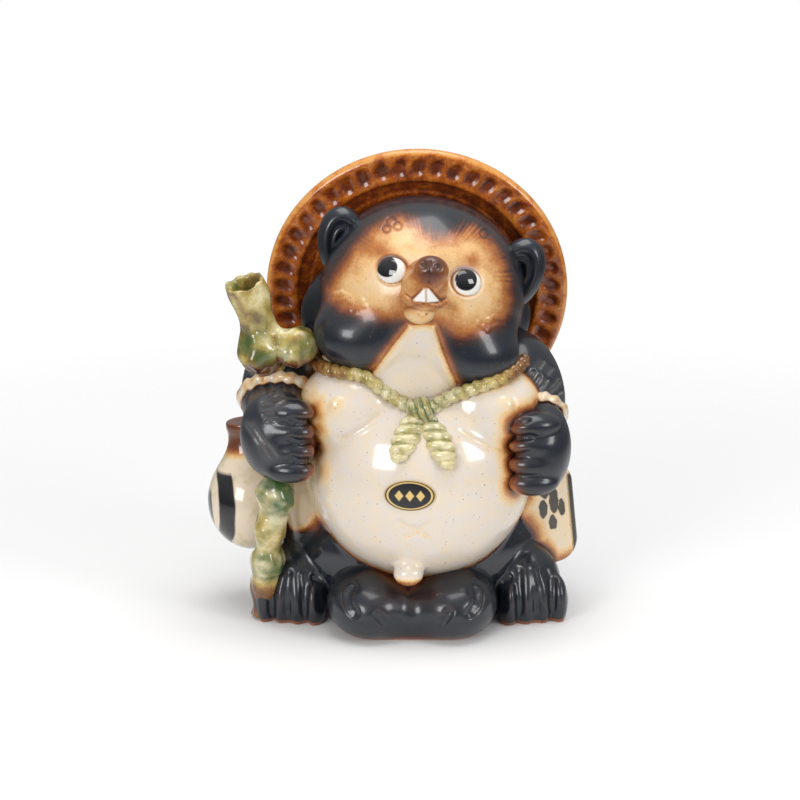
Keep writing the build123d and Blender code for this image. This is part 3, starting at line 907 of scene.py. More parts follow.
def brushed_edge(p, spots):
    """The distance inside the face, where brushed hairs of black glaze run into it."""
    away = spots - FACE_MIDDLE
    angle = np.arctan2(away[:, 1], away[:, 0])
    coarse, sway, fine = HAIR_WAVES
    hairs = np.sin(angle * coarse + 3 * np.sin(angle * sway)) + 0.7 * np.sin(angle * fine + 1)
    hairs = hairs * (0.6 + 0.4 * waves(p, 9, 61))
    top = smooth(246, 226, spots[:, 1]) * smooth(392, 425, spots[:, 0]) * smooth(490, 465, spots[:, 0])
    brushed = 0.5 + 3.0 * top + smooth(488, 505, spots[:, 0])
    return inside(spots, FACE_OUTLINE) + brushed * hairs * smooth(320, 300, spots[:, 1])


def head_paint(p, normal, bend):
    spots = pixel(p)
    burn = np.interp(brushed_edge(p, spots), *FACE_BURNS)
    for place, stretch, shade in SHADES:
        burn = burn + shade * fade(np.linalg.norm((spots - place) / stretch, axis=-1), SHADE_SIZE)
    lid = np.max([smooth(-1, 4, p[:, 2] - eye.middle[2]) * smooth(9, 7, np.abs(p[:, 0] - eye.middle[0]))
                  for eye in eyes], axis=0)
    burn = burn + (0.08 + 0.42 * lid) * fade(near(eyes, p), 1.0) + 0.12 * rings(p, CURLS, 0.5)
    burn = np.minimum(burn, np.interp(inside(spots, BIB_OUTLINE), *BIB_BURNS))
    front = head_front(p)
    return paints(glazed(front * burn + (1 - front), bend, p, 0.2))


sculpt("head_shell", head_field, head_paint, satin, rough=head_base)
PUPILS = [(386.8, 266.6, 10.6), (466.0, 279.8, 11.0)]


def add_eye(name, form, pupil):
    def paint(p, normal, bend):
        u, v, radius = pupil
        ink = smooth(radius + 0.5, radius - 0.5, np.linalg.norm(pixel(p) - (u, v), axis=-1))
        rim = smooth(0.86, 0.99, np.linalg.norm(form.local(p)[:, [0, 2]] / form.half[[0, 2]], axis=-1))
        return paints(0.42 * rim, pale=1 - rim, ink=ink)
    sculpt(name, form.field, paint, enamel)


add_eye("right_eye", eyes[0], PUPILS[0])
add_eye("left_eye", eyes[1], PUPILS[1])


# Muzzle
LIP_PATH = [[(402, 296), (410, 302), (424, 307), (438, 306), (450, 301)]]
CHIN_PATH = [[(416, 313), (422, 317), (429, 313)]]
NOSE_LINE = [[(430, 262), (430, 270), (429, 282)]]
NOSTRILS = [(423.5, 265), (437, 267)]
NOSE_MIDDLE = (431, 267)
TEETH_OUTLINE = [(411, 301), (424, 288), (429, 288), (441, 302), (426, 303)]
TEETH_LINE = [[(426, 289), (426, 302)]]
NOSE_SOFT = 3
LIP_SOFT = 2.4
CHIN_SOFT = 2.2
LIP_TOP = 303  # the row where the lower lip begins
LIP_RISE = 0.9
TEETH_RISE = 0.5
TEETH_GAP = 0.3
NOSTRIL_DEPTH = 0.9
NOSE_LINE_DEPTH = 0.5
CHIN_DEPTH = 0.4
NOSE_BURNS = ((6, 14, 20, 32), (0.74, 0.60, 0.45, 0.38))
LIP_BURNS = ((303, 308, 314, 319), (0.50, 0.34, 0.24, 0.30))


def muzzle_base(p):
    snout = joined([muzzle, nose], p, NOSE_SOFT)
    return joined([chin], p, CHIN_SOFT, joined([lip], p, LIP_SOFT, snout))


def muzzle_field(p):
    teeth = smooth(-0.5, 1.5, inside(pixel(p), TEETH_OUTLINE))
    detail = teeth * (TEETH_RISE - TEETH_GAP * strokes(p, TEETH_LINE, 0.3))
    detail = detail + LIP_RISE * strokes(p, LIP_PATH, 0.8, 0.1) - NOSTRIL_DEPTH * dots(p, NOSTRILS, 1.2)
    detail = detail - NOSE_LINE_DEPTH * strokes(p, NOSE_LINE, 0.5)
    return muzzle_base(p) - detail + CHIN_DEPTH * strokes(p, CHIN_PATH, 0.6, 0.2)


def muzzle_paint(p, normal, bend):
    spots = pixel(p)
    burn = np.interp(np.linalg.norm((spots - NOSE_MIDDLE) / (1, 1.15), axis=-1), *NOSE_BURNS)
    below = spots[:, 1] - 0.22 * np.abs(spots[:, 0] - 424)
    burn = np.where(below > LIP_TOP, np.interp(below, *LIP_BURNS), burn) + 0.10 * strokes(p, LIP_PATH, 0.7)
    teeth = smooth(0, 1.2, inside(spots, TEETH_OUTLINE))
    return paints(glazed(burn, bend, p, 0.3), pale=teeth * (1 - 0.8 * strokes(p, TEETH_LINE, 0.25)))


sculpt("muzzle", muzzle_field, muzzle_paint, satin, rough=muzzle_base)


# Ears
EAR_STROKES = [
    [(336, 254), (345, 240), (357, 226)], [(339, 258), (350, 243), (363, 228)],
    [(341, 263), (350, 252), (360, 240)],
]
CUP_SOFT = 1.6
RIDGE_SHARE = 0.52  # where a ridge runs round the bowl, of its half size
RIDGE_WIDTH = 0.12
EAR_LINE_DEPTH = 0.5


def add_ear(side, name, share):
    turn = (0, head_roll + side * ear_splay, 0)
    shell = Form(head.at(share), ear_size, turn)
    cup_size = np.array(ear_size) - 2 * ear_wall * np.array((1, 0, 1))
    cup = Form(shell.at(mirrored(cup_share, side)) + np.array(cup_shift), cup_size, turn)

    def field(p):
        local = cup.local(p) / cup.half
        ridge = fade(np.hypot(local[..., 0], local[..., 2]) - RIDGE_SHARE, RIDGE_WIDTH)
        ridge = ridge * (local[..., 0] * -side < 0.45)
        lines = EAR_LINE_DEPTH * strokes(p, EAR_STROKES, 0.5, 0.2)
        return carve(shell.field(p), cup.field(p), CUP_SOFT) - ridge + lines

    def paint(p, normal, bend):
        bowl = smooth(1.0, 0.4, cup.field(p)) * smooth(0.2, -0.4, cup.local(p)[:, 1] / cup.half[1])
        # Painted sheen: pale slate strokes on the forward-facing part of the ear's bowl
        painted_fur_sheen = 0.06 * bowl * (0.6 + 0.6 * strokes(p, EAR_STROKES, 0.7, 0.2))
        return paints(glazed(np.ones(len(p)), bend, p), pale=painted_fur_sheen)
    sculpt(name, field, paint, dark)


add_ear(-1, "right_ear", right_ear_share)
add_ear(1, "left_ear", left_ear_share)


# Arms, hands and wrist cords
RIGHT_FUR = [
    [(256, 406), (273, 399), (287, 392)], [(256, 410), (276, 407), (290, 399)], [(260, 416), (277, 414)],
    [(264, 421), (280, 420)], [(242, 416), (256, 438), (273, 466)], [(248, 416), (260, 435), (276, 461)],
    [(256, 401), (271, 396), (284, 387)], [(250, 424), (262, 440), (280, 462)],
    [(252, 376), (253, 367)], [(258, 375), (259, 366)], [(264, 374), (265, 366)], [(270, 373), (271, 366)],
]
LEFT_FUR = [
    [(535, 369), (526, 381)], [(542, 374), (530, 391)], [(549, 378), (537, 393)], [(556, 384), (544, 398)],
    [(545, 360), (537, 370)], [(553, 366), (546, 376)], [(561, 378), (552, 392)], [(563, 392), (555, 405)],
]
RIGHT_KNUCKLES = [
    [(314, 421), (300, 421), (286, 417)], [(314, 441), (300, 441), (284, 437)],
    [(313, 460), (300, 460), (286, 456)],
]
LEFT_KNUCKLES = [
    [(490, 425), (512, 424), (534, 419)], [(490, 440), (514, 440), (538, 434)],
    [(490, 456), (514, 456), (536, 450)],
]
WRIST_SOFT = 5
FINGER_SOFT = 1.3
FUR_DEPTH = 0.7
KNUCKLE_DEPTH = 1.0
TIP_BURNS = ((-2.5, 1.0, 4.5), (0.0, 0.24, 0.50))
CORD_TWIST = 1.5
CORD_FLATTEN = 1.3


def add_arm(name, forms, fur, knuckles, side):
    upper, fist = forms[:2]
    tip = fist.at((-side * 0.75, 0, 0))[0]

    def base(p):
        return joined(forms[2:], p, FINGER_SOFT, joined([upper, fist], p, WRIST_SOFT))

    def field(p):
        detail = FUR_DEPTH * strokes(p, fur, 0.6, 0.25) + KNUCKLE_DEPTH * strokes(p, knuckles, 1.0, 0.2)
        return base(p) + detail * smooth(2, -4, p[..., 1] - upper.middle[1])

    def paint(p, normal, bend):
        reach = side * (tip - p[:, 0])
        hand = smooth(-8, -14, p[:, 1] - upper.middle[1])
        burn = 1 - hand * np.interp(reach, *TIP_BURNS)
        low = smooth(0.55, 0.95, (fist.middle[2] - p[:, 2]) / fist.half[2]) * hand
        burn = burn - 0.45 * low * smooth(-8, 2, reach)
        # Painted sheen: pale slate along the fur strokes, where the glaze is darkest
        painted_fur_sheen = 0.07 * strokes(p, fur, 1.6, 0.2) * smooth(0.7, 0.9, burn)
        return paints(glazed(np.clip(burn, 0.14, 1), bend, p), pale=painted_fur_sheen)
    sculpt(name, field, paint, dark, rough=base)


def add_wrist_cord(name, forms, share):
    upper = forms[0]
    tilt = math.radians(cord_tilt)
    down = np.array((0, -math.sin(tilt), -math.cos(tilt)))
    middle = upper.middle + down * (share * upper.half[2])

    def field(p):
        offset = (p - middle) @ down
        phase = (p[..., 0] - upper.middle[0]) * CORD_TWIST + offset * 0.6
        gap = np.sqrt((joined(forms[:2], p, WRIST_SOFT) * CORD_FLATTEN) ** 2 + offset ** 2)
        return gap - cord_width / 2 - cord_lay * np.sin(phase)

    def paint(p, normal, bend):
        burn = 0.18 + 0.14 * waves(p, 2.5, 5) + 0.5 * smooth(0.9, 0.1, joined(forms[:2], p, WRIST_SOFT))
        return paints(glazed(burn, bend, p, 0.6))
    sculpt(name, field, paint, clay)


add_arm("right_arm", right_arm_forms, RIGHT_FUR, RIGHT_KNUCKLES, -1)
add_arm("left_arm", left_arm_forms, LEFT_FUR, LEFT_KNUCKLES, 1)
add_wrist_cord("right_wrist_cord", right_arm_forms, right_cord_share)
add_wrist_cord("left_wrist_cord", left_arm_forms, left_cord_share)


# Feet, sac and tail
RIGHT_FOOT_LINES = [
    [(277, 572), (272, 592), (271, 618)], [(290, 566), (287, 590), (287, 618)],
    [(302, 568), (303, 592), (304, 618)], [(314, 572), (318, 592), (320, 614)],
]
LEFT_FOOT_LINES = [
    [(510, 572), (505, 592), (504, 614)], [(519, 564), (520, 588), (520, 617)],
    [(531, 562), (536, 586), (537, 616)], [(543, 564), (551, 584), (553, 612)],
]
SAC_HOOKS = [
    [(358, 582), (348, 592), (349, 605), (359, 620)], [(470, 582), (478, 593), (476, 606), (464, 620)],
]
SAC_SMILES = [[(376, 609), (381, 619), (393, 627)], [(451, 606), (447, 617), (438, 625)]]
FILLET_DROP = 0.25  # a fillet runs out this far under the piece beside it
FILLET_SOFT = 3
FILLET_MARGIN = 4.0
TOE_SOFT = 1.8
TOE_LINE_DEPTH = 0.8
LOBE_SOFT = 6
NOTCH_SOFT = 2.0
HOOK_DEPTH = 2.3
SMILE_DEPTH = 1.7
CURVE_STEPS = 4
TAIL_FUR_DEPTH = 0.3


def luted(own, others, p):
    """A piece with the fillet of slip that joins it to the pieces beside it."""
    return blend(own, near(others, p) + FILLET_DROP, FILLET_SOFT)


def add_foot(name, forms, lines):
    def base(p):
        return above_table(luted(joined(forms, p, TOE_SOFT), [hips], p), p)

    def field(p):
        grooves = strokes(p, lines, 1.5, 0.15) * smooth(2, -4, p[..., 1] - forms[0].middle[1])
        return above_table(base(p) + TOE_LINE_DEPTH * grooves, p)
    sculpt(name, field, plain_black, dark, rough=base, margin=FILLET_MARGIN)


def above_notch(p):
    return p[..., 2] - notch_low - notch_slope * np.abs(p[..., 0] - tab.middle[0])


def sac_base(p):
    sac = luted(joined(lobes, p, LOBE_SOFT), [hips, right_foot, left_foot], p)
    return above_table(carve(sac, -above_notch(p), NOTCH_SOFT), p)


def sac_field(p):
    hooks, smiles = ([smooth_path(path, CURVE_STEPS) for path in paths] for paths in (SAC_HOOKS, SAC_SMILES))
    dents = HOOK_DEPTH * strokes(p, hooks, 1.5, 0.25) + SMILE_DEPTH * strokes(p, smiles, 1.4, 0.3)
    return above_table(sac_base(p) + dents, p)


def sac_paint(p, normal, bend):
    middle = 0.12 * fade(p[:, 0], 12) * smooth(10, 18, p[:, 2])
    burn = 1 - middle - 0.24 * smooth(-1.6, 0.2, above_notch(p)) - 0.2 * smooth(4.5, 1, p[:, 2])
    return paints(glazed(burn, bend, p))


def tail_base(p):
    return above_table(tail.field(p), p)


def tail_field(p):
    q = tail.local(p)
    fur = np.sin(q[..., 0] * 2.1 + 0.8 * np.sin(q[..., 2] * 0.35))
    return above_table(tail.field(p) + TAIL_FUR_DEPTH * fur, p)


def tail_paint(p, normal, bend):
    return paints(glazed(0.86 + 0.14 * np.sin(p[:, 2] * 0.42), bend, p))


add_foot("right_foot", right_foot_forms, RIGHT_FOOT_LINES)
add_foot("left_foot", left_foot_forms, LEFT_FOOT_LINES)
sculpt("front_sac", sac_field, sac_paint, dark, rough=sac_base, margin=FILLET_MARGIN)
sculpt("tail", tail_field, tail_paint, dark, rough=tail_base)


# Hat, turned about its own axis, with a ring of pits pressed into the front of its brim
HAT_ROUND = 540
RIM_STEPS = 14
FACE_STEPS = 110
HUB = 0.001  # the innermost radius


def hat_profile():
    """Radius, height behind the front face and side, from the front's middle round to the back's."""
    inner = hat_radius - hat_rim / 2
    crown = hat_radius * crown_share
    front = np.linspace(HUB, inner, FACE_STEPS)
    bend_radius, bend_depth = hollow_share
    places = (crown_share, bend_radius, brim_share)
    depth = np.interp(front / hat_radius, places, (hat_hollow, hat_hollow * bend_depth, 0))
    turn = np.linspace(-math.pi / 2, math.pi / 2, RIM_STEPS)[1:-1]
    edge = inner + np.cos(turn) * hat_rim / 2
    edge_depth = hat_rim / 2 * (1 + np.sin(turn))
    crown_rise = hat_rise * (1 - crown_drop_share)
    rise = np.interp(front[::-1], (0, crown / 2, crown, inner), (hat_rise, hat_rise, crown_rise, hat_rim))
    side = np.repeat((0, 0.5, 1), (FACE_STEPS, len(edge), FACE_STEPS))
    return np.concatenate((front, edge, front[::-1])), np.concatenate((depth, edge_depth, rise)), side


def add_hat():
    profile, height, side = (values[:, None] for values in hat_profile())
    angle = np.arange(HAT_ROUND) / HAT_ROUND * math.tau
    r, share = profile + 0 * angle, profile / hat_radius
    front, back = side < 0.5, side > 0.9
    across = ((angle / math.tau * pit_count) % 1 - 0.5) * math.tau * r / pit_count / (pit_width / 2)
    outward = (r - hat_radius * pit_share) / (pit_length / 2)
    oval = np.abs(across + pit_slant * outward) ** pit_power + np.abs(outward) ** pit_power
    pit = smooth(1.2, 0.45, oval ** (1 / pit_power)) * front
    band = smooth(band_share[1] + 0.01, band_share[1] - 0.01, share)
    band = band * smooth(band_share[0] - 0.01, band_share[0] + 0.01, share) * front
    ribs = (0.5 + 0.5 * np.cos(angle * rib_count)) * smooth(0.1, 0.3, share) * back
    grooves = sum(fade(share - place, ring_width) for place in ring_shares) * back
    h = height + pit_depth * pit + band_depth * band - rib_depth * ribs - ring_depth * grooves
    flat = np.stack((r * np.cos(angle), h, r * np.sin(angle)), -1).reshape(-1, 3)
    spots = head.at(hat_share) + flat @ turned((hat_tilt, 0, 0)).T
    gap = head.field(spots).reshape(r.shape)
    burn = 0.40 + 0.32 * pit + 0.24 * band - 0.36 * smooth(0.970, 0.985, share) * (side < 0.6)
    # Painted shade: the front of the hat darkens where it comes near the head and over the inner hollow
    # inside the band
    burn = burn + 0.40 * smooth(3.0, 0.5, gap) * front + 0.34 * smooth(0.73, 0.60, share) * front
    burn = burn + 0.30 * grooves + 0.12 * back * (1 - ribs)
    burn = burn + 0.25 * smooth(0.5, 0.9, side) * smooth(0.99, 0.97, share)
    piece = mesh_object("glazed_hat", spots, wound_faces(*r.shape), paints(burn.ravel()))
    dressed(piece, amber, "hat")


add_hat()


# Sake flask
NECK_SOFT = 9
LIP_BLEND = 2.5
FLASK_BURNS = ((0, 1.5, 5), (0.75, 0.45, 0.0))


def flask_local(p):
    return (p - hips.at(flask_share)) @ turned((0, flask_lean, 0))


def flask_field(p):
    q = flask_local(p)
    round_belly = Form((0, 0, 0), (2 * flask_radius, 2 * flask_radius, flask_height)).field(q)
    top = flask_height / 2 + flask_neck_height
    around = np.hypot(q[..., 0], q[..., 1])
    neck = np.maximum(around - flask_neck_radius * 1.3, np.abs(q[..., 2] - top / 2) - top / 2)
    mouth = np.hypot(around - flask_neck_radius, q[..., 2] - top + flask_lip) - flask_lip * 0.8
    return blend(blend(round_belly, neck, NECK_SOFT), mouth, LIP_BLEND)


def flask_paint(p, normal, bend):
    q = flask_local(p)
    burn = 0.08 + 0.58 * smooth(flask_height * 0.46, flask_height * 0.62, q[:, 2])
    band = np.abs(q[:, 0] + flask_radius * 0.50 + 0.010 * (q[:, 2] - 2) ** 2 - 0.06 * q[:, 2])
    brush = smooth(flask_band, flask_band - 0.7, band + 0.35 * waves(p, 5.0, 3))
    brush = brush * smooth(-16.5, -15, q[:, 2]) * smooth(14, 12.5, q[:, 2]) * (q[:, 1] < 2)
    second = smooth(1.3, 0.8, np.abs(q[:, 0] + flask_radius * 0.93)) * smooth(9, 6, np.abs(q[:, 2] + 1))
    burn = burnt(burn, near([hips, waist] + right_arm_forms, p), FLASK_BURNS)
    stained = smooth(2, 12, q[:, 0])
    return paints(glazed(burn + 0.12 * stained, bend, p), green=0.25 * stained, ink=np.maximum(brush, second))


sculpt("sake_flask", flask_field, flask_paint, pot)


# Account book
BOOK_DABS = [  # place, half width and half height of each dab of ink
    (-2.5, 3.5, 1.9, 3.4), (2.5, 5.5, 2.2, 5.0), (1.2, -2.5, 1.9, 3.0), (5.8, 2.2, 1.5, 3.2),
    (-1.0, 10.5, 2.4, 3.4),
]
PAGE_WIDTH = 0.35
PAGE_DEPTH = 0.3
BINDING_DEPTH = 0.35
BOOK_BURNS = ((0, 1.2, 4.5), (0.85, 0.50, 0.12))


def book_local(p):
    return (p - hips.at(book_share)) @ turned((0, book_lean, book_turn))


def rounded(over, radius):
    """The distance from a block with round corners, from how far a point is past each of its sides."""
    over = over + radius
    return np.linalg.norm(np.maximum(over, 0), axis=-1) + np.minimum(over.max(-1), 0) - radius


def book_field(p):
    q = book_local(p)
    deep = np.abs(q[..., 1])
    outline = rounded(np.abs(q[..., [0, 2]]) - np.array((book_width, book_height)) / 2, book_corner)
    block = rounded(np.stack((outline, deep - book_thickness / 2), -1), book_edge)
    pages = PAGE_DEPTH * fade(deep - book_thickness * 0.28, PAGE_WIDTH)
    binding = BINDING_DEPTH * smooth(0.5, 0, np.abs(q[..., 0] - book_width / 2 + book_spine))
    return block + pages * (outline > -1.5) + binding * (deep > book_thickness * 0.4)


def book_paint(p, normal, bend):
    q = book_local(p)
    spine = smooth(book_width / 2 - book_spine, book_width / 2 - book_spine + 0.5, q[:, 0])
    ink = 0.95 * spine * smooth(book_height * 0.42, book_height * 0.38, np.abs(q[:, 2] + 1))
    for x, z, wide, high in BOOK_DABS:
        gap = np.hypot((q[:, 0] - x) / wide, (q[:, 2] - z) / high)
        ink = np.maximum(ink, 0.92 * smooth(1.06, 0.94, gap + 0.1 * waves(p, 1.6, 11)) * (q[:, 1] < 0))
    burn = burnt(0.10, near([hips, waist] + left_arm_forms + left_foot_forms, p), BOOK_BURNS)
    burn = np.maximum(burn, 0.50 * smooth(-book_height * 0.25, -book_height * 0.5, q[:, 2]))
    return paints(glazed(burn, bend, p), ink=ink)


sculpt("account_book", book_field, book_paint, clay)


# Staff
STICK_SOFT = 2.0
KNOT_SOFT = 3.5
BORE_SOFT = 1.2
BARK_DEPTHS = (0.7, 0.35)  # of its lumps and of its long ridges
BARK_STRETCH = np.array((1, 1, 0.25))


def staff_point(share):
    return right_fist.middle + np.array(share) * staff_height


def staff_run(p):
    """The crooked stick without its knots."""
    points = [staff_point(share) for share in staff_route_shares]
    last = len(points) - 1
    total = None
    for number, (start, end) in enumerate(zip(points, points[1:])):
        way = end - start
        length = np.linalg.norm(way)
        t = ((p - start) @ way) / length ** 2
        held = np.clip(t, 0, 1)
        thick = staff_radius + staff_taper * (number + held) / last
        if number + 1 == last:
            thick = thick + (staff_mouth - staff_radius - staff_taper) * held
        gap = np.linalg.norm(p - start - held[..., None] * way, axis=-1) - thick
        if number + 1 == last:
            gap = np.maximum(gap, (t - 1) * length)
        total = gap if total is None else blend(total, gap, STICK_SOFT)
    return total


def knot_fields(p):
    return [np.linalg.norm(p - staff_point(share), axis=-1) - size / 2 for share, size in staff_knots]


def staff_base(p):
    stick = staff_run(p)
    for knot in knot_fields(p):
        stick = blend(stick, knot, KNOT_SOFT)
    before, end = [staff_point(share) for share in staff_route_shares[-2:]]
    way = (end - before) / np.linalg.norm(end - before)
    depth = (p - end) @ way
    around = np.linalg.norm(p - end - depth[..., None] * way, axis=-1)
    bore = np.maximum(around - staff_bore, -depth - staff_bore_depth)
    return np.maximum(carve(stick, bore, BORE_SOFT), staff_clear - p[..., 2])


def staff_field(p):
    lumps, ridges = BARK_DEPTHS
    return staff_base(p) + lumps * waves(p, 6.0, 21) + ridges * waves(p * BARK_STRETCH, 2.4, 22)


def staff_paint(p, normal, bend):
    height = p[:, 2]
    # Painted shade: high on the staff, faces that turn downwards are darker and lose their green
    underside_shade = smooth(0.2, 0.8, -normal[:, 2]) * smooth(60, 75, height)
    high = smooth(55, 75, height)
    burn = 0.13 + 0.15 * high + 0.22 * waves(p, 6, 31) + 0.50 * smooth(22, 8, height) + 0.6 * underside_shade
    knotty = smooth(3.5, 0, np.min(knot_fields(p), axis=0)) * smooth(-1, 0.8, waves(p, 5, 35))
    green = np.clip(0.12 + 0.35 * waves(p, 8, 33), 0, 1) + (0.85 - 0.45 * high) * knotty
    green = np.clip(green, 0, 1) * smooth(6, 16, height) * (1 - underside_shade)
    hollow = smooth(-9, -2, height - staff_point(staff_route_shares[-1])[2])
    green = np.maximum(green, 0.9 * hollow * smooth(0.05, -0.2, bend))
    return paints(glazed(burn, bend, p, 0.3), green=green)


sculpt("staff", staff_field, staff_paint, olive, rough=staff_base)


# Rope round the neck with its knot and two tassels. A lay is the height of the strands on a rope.
ROPE_LAY = (0.80, 0.55)  # how far a strand stands out, and how far the valleys sink
TASSEL_LAY = (0.75, 0.45)
TASSEL_GROW = 0.3
ROPE_BURNS = ((8, 22, 36), (0.0, 0.10, 0.50))
ROPE_GREENS = ((0, 7, 18, 26), (0.95, 0.72, 0.40, 0.0))
TASSEL_GREENS = ((-8, 2, 9), (0.20, 0.45, 1.0))
KNOT_WAVE = 0.3


def rope_points():
    right_breast, left_breast = breasts
    route = [chest.at(rope_end_share)] + [right_breast.at(share) for share in rope_right_shares]
    return route + [belly.at(knot_share)] + [left_breast.at(share) for share in rope_left_shares]


rope_curve = smooth_path(rope_points(), CURVE_STEPS)
rope_length = sum(np.linalg.norm(b - a) for a, b in zip(rope_curve, rope_curve[1:]))


def rope_knot(p):
    return np.linalg.norm(p - belly.at(knot_share), axis=-1) - rope_knot_size / 2


def strands(phase, lay):
    return lay[0] * np.abs(np.sin(math.pi * phase)) - lay[1]


def rope_base(p):
    return blend(along(p, rope_curve)[0] - rope_radius, rope_knot(p), 1.5)


def rope_field(p):
    gap, place = along(p, rope_curve)
    lift = p[..., 2] - np.interp(place, np.linspace(0, 1, len(rope_curve)), [spot[2] for spot in rope_curve])
    lay = strands(place * rope_length / rope_pitch + rope_slant * lift / rope_radius, ROPE_LAY)
    return blend(gap - rope_radius - lay, rope_knot(p) + KNOT_WAVE * np.sin(p[..., 0] * 2.4 + p[..., 2]), 1.0)


def rope_paint(p, normal, bend):
    out = np.abs(p[:, 0] - belly.at(knot_share)[0])
    burn = 0.16 + 0.10 * waves(p, 4, 41) + np.interp(out, *ROPE_BURNS)
    green = np.interp(out, *ROPE_GREENS) * (0.45 + 0.75 * smooth(0.05, -0.25, bend))
    return paints(glazed(burn, bend, p, 0.5), green=np.clip(green, 0, 1))


def add_tassel(side, name, share):
    form = Form(belly.at(share), tassel_size, (tassel_pitch, -side * tassel_spread, 0))

    def field(p):
        q = form.local(p)
        lay = strands(q[..., 2] / tassel_lay_pitch + side * 0.12 * q[..., 0], TASSEL_LAY)
        return form.field(p, TASSEL_GROW) - lay * smooth(0.98, 0.7, np.abs(q[..., 2]) / form.half[2])

    def paint(p, normal, bend):
        green = np.interp(form.local(p)[:, 2], *TASSEL_GREENS) * (0.35 + 0.9 * smooth(0.1, -0.3, bend))
        burn = 0.10 + 0.08 * waves(p, 3, 51)
        return paints(glazed(burn, bend, p, 0.3), green=np.clip(green, 0, 1))
    sculpt(name, field, paint, twist, rough=form.field)


sculpt("neck_rope", rope_field, rope_paint, twist, rough=rope_base)
add_tassel(-1, "right_tassel", right_tassel_share)
add_tassel(1, "left_tassel", left_tassel_share)


# Oval label, a thin plate that follows the belly, with a gold rim and three lozenges
LABEL_ROUND = 128
LABEL_RINGS = 40
LABEL_HUB = 0.002
RIM_SHARES = (0.84, 0.90)
EDGE_SHARES = (0.965, 0.985)
RIM_SOFT = 0.02
LOZENGES = (-0.42, 0.0, 0.42)  # their places along the label, of its half width
LOZENGE_HALF = (1.5, 1.95)


def add_label():
    middle = belly.at(label_share)
    angle = np.arange(LABEL_ROUND) / LABEL_ROUND * math.tau
    r, a = np.meshgrid(np.linspace(LABEL_HUB, 1, LABEL_RINGS), angle, indexing="ij")
    x = middle[0] + r * np.cos(a) * label_width / 2
    z = middle[2] + r * np.sin(a) * label_height / 2
    layers = []
    for lift in (label_thickness + label_gap, label_gap):
        half = belly.half + lift
        rest = 1 - ((x - belly.middle[0]) / half[0]) ** 2 - ((z - belly.middle[2]) / half[2]) ** 2
        layers.append(np.stack((x, belly.middle[1] - half[1] * np.sqrt(rest), z), -1))
    rows = np.concatenate((layers[0], layers[1][::-1]))
    faces = wound_faces(len(rows), LABEL_ROUND)[:, [0, 3, 2, 1]]
    inner, outer = RIM_SHARES
    gold = smooth(inner - RIM_SOFT, inner, r) * smooth(outer + RIM_SOFT, outer, r)
    gold = np.maximum(gold, smooth(*EDGE_SHARES, r))
    for share in LOZENGES:
        dx = (x - middle[0] - share * label_width / 2) / LOZENGE_HALF[0]
        dz = (z - middle[2]) / LOZENGE_HALF[1]
        gold = np.maximum(gold, smooth(1.08, 0.92, np.abs(dx) + np.abs(dz)))
    gold = np.concatenate((gold, gold[::-1])).ravel()
    spots = rows.reshape(-1, 3)
    piece = mesh_object("paper_label", spots, faces, paints(np.ones(len(spots)), ink=1.0, gold=gold))
    dressed(piece, paper, "belly_label")


add_label()


# Floor, light and camera, in metres
FLOOR_HALF = 1.5
FLOOR_GREY = (0.86, 0.86, 0.86)
FLOOR_FADE = (0.13, 0.42)  # from the middle, where the floor fades into the white behind it
LAMPS = [  # name, place, size and power
    ("window_left", (-0.62, -0.98, 0.42), 0.46, 6.2), ("window_right", (0.86, -0.66, 0.46), 0.36, 3.6),
    ("top_light", (0.05, -0.10, 1.05), 0.70, 6.0),
]
AIM = (0.0, -0.02, 0.085)
SKY_HEIGHTS = (-0.1, 0.9)
SKY_LEVELS = (0.16, 0.66)  # the room's light from below the horizon and from overhead


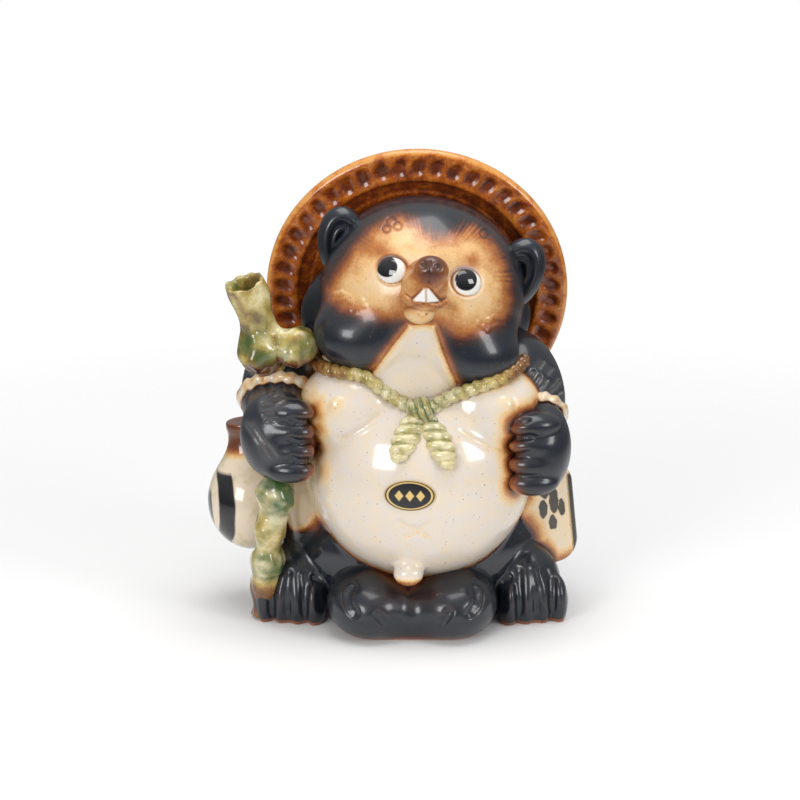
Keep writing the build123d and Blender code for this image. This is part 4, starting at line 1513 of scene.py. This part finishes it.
def add_floor():
    mesh = bpy.data.meshes.new("floor")
    square = [(x * FLOOR_HALF, y * FLOOR_HALF, 0) for x, y in ((-1, -1), (1, -1), (1, 1), (-1, 1))]
    mesh.from_pydata(square, [], [(0, 1, 2, 3)])
    floor = added("floor", mesh)
    paint = Painter("floor_white", 0.9, 0.0)
    paint.feed(paint.shader.inputs["Base Color"], FLOOR_GREY)
    away = paint.node("ShaderNodeVectorMath", {0: paint.place}, operation="LENGTH").outputs["Value"]
    both = paint.node("ShaderNodeMixShader", {
        "Fac": paint.spread(away, *FLOOR_FADE),
        1: paint.shader.outputs["BSDF"],
        2: paint.node("ShaderNodeBsdfTransparent").outputs["BSDF"],
    })
    paint.feed(paint.tree.nodes["Material Output"].inputs["Surface"], both.outputs["Shader"])
    mesh.materials.append(paint.material)


def add_lamp(name, place, size, power):
    lamp = bpy.data.lights.new(name, "AREA")
    lamp.shape = "SQUARE"
    lamp.size = size
    lamp.energy = power
    lamp_object = added(name, lamp)
    lamp_object.location = place
    lamp_object.rotation_euler = (Vector(AIM) - Vector(place)).to_track_quat("-Z", "Y").to_euler()


def add_sky():
    """A room that is bright overhead and dim at the sides, with plain white behind the object."""
    world = bpy.data.worlds.new("studio")
    bpy.context.scene.world = world
    world.use_nodes = True
    room = Nodes(world.node_tree)
    back = room.tree.nodes["Background"]
    room.feed(back.inputs["Color"], (1, 1, 1))
    way = room.node("ShaderNodeSeparateXYZ", {0: room.node("ShaderNodeTexCoord").outputs["Generated"]})
    level = room.spread(way.outputs["Z"], *SKY_HEIGHTS, *SKY_LEVELS)
    rays = room.node("ShaderNodeLightPath").outputs
    for ray in ("Is Camera Ray", "Is Transmission Ray"):
        level = room.node("ShaderNodeMath", {0: level, 1: rays[ray]}, operation="MAXIMUM").outputs[0]
    room.feed(back.inputs["Strength"], level)


def add_camera():
    camera = bpy.data.cameras.new("camera")
    camera.sensor_width = SENSOR_MM
    camera.lens = FOCAL_PX * SENSOR_MM / (2 * PHOTO_MIDDLE)
    camera_object = added("camera", camera)
    camera_object.location = CAMERA_MM * MM
    camera_object.rotation_euler = (math.pi / 2 - CAMERA_DROP, 0, 0)
    bpy.context.scene.camera = camera_object


add_floor()
for lamp in LAMPS:
    add_lamp(*lamp)
add_sky()
add_camera()
bpy.context.scene.view_settings.view_transform = "Standard"
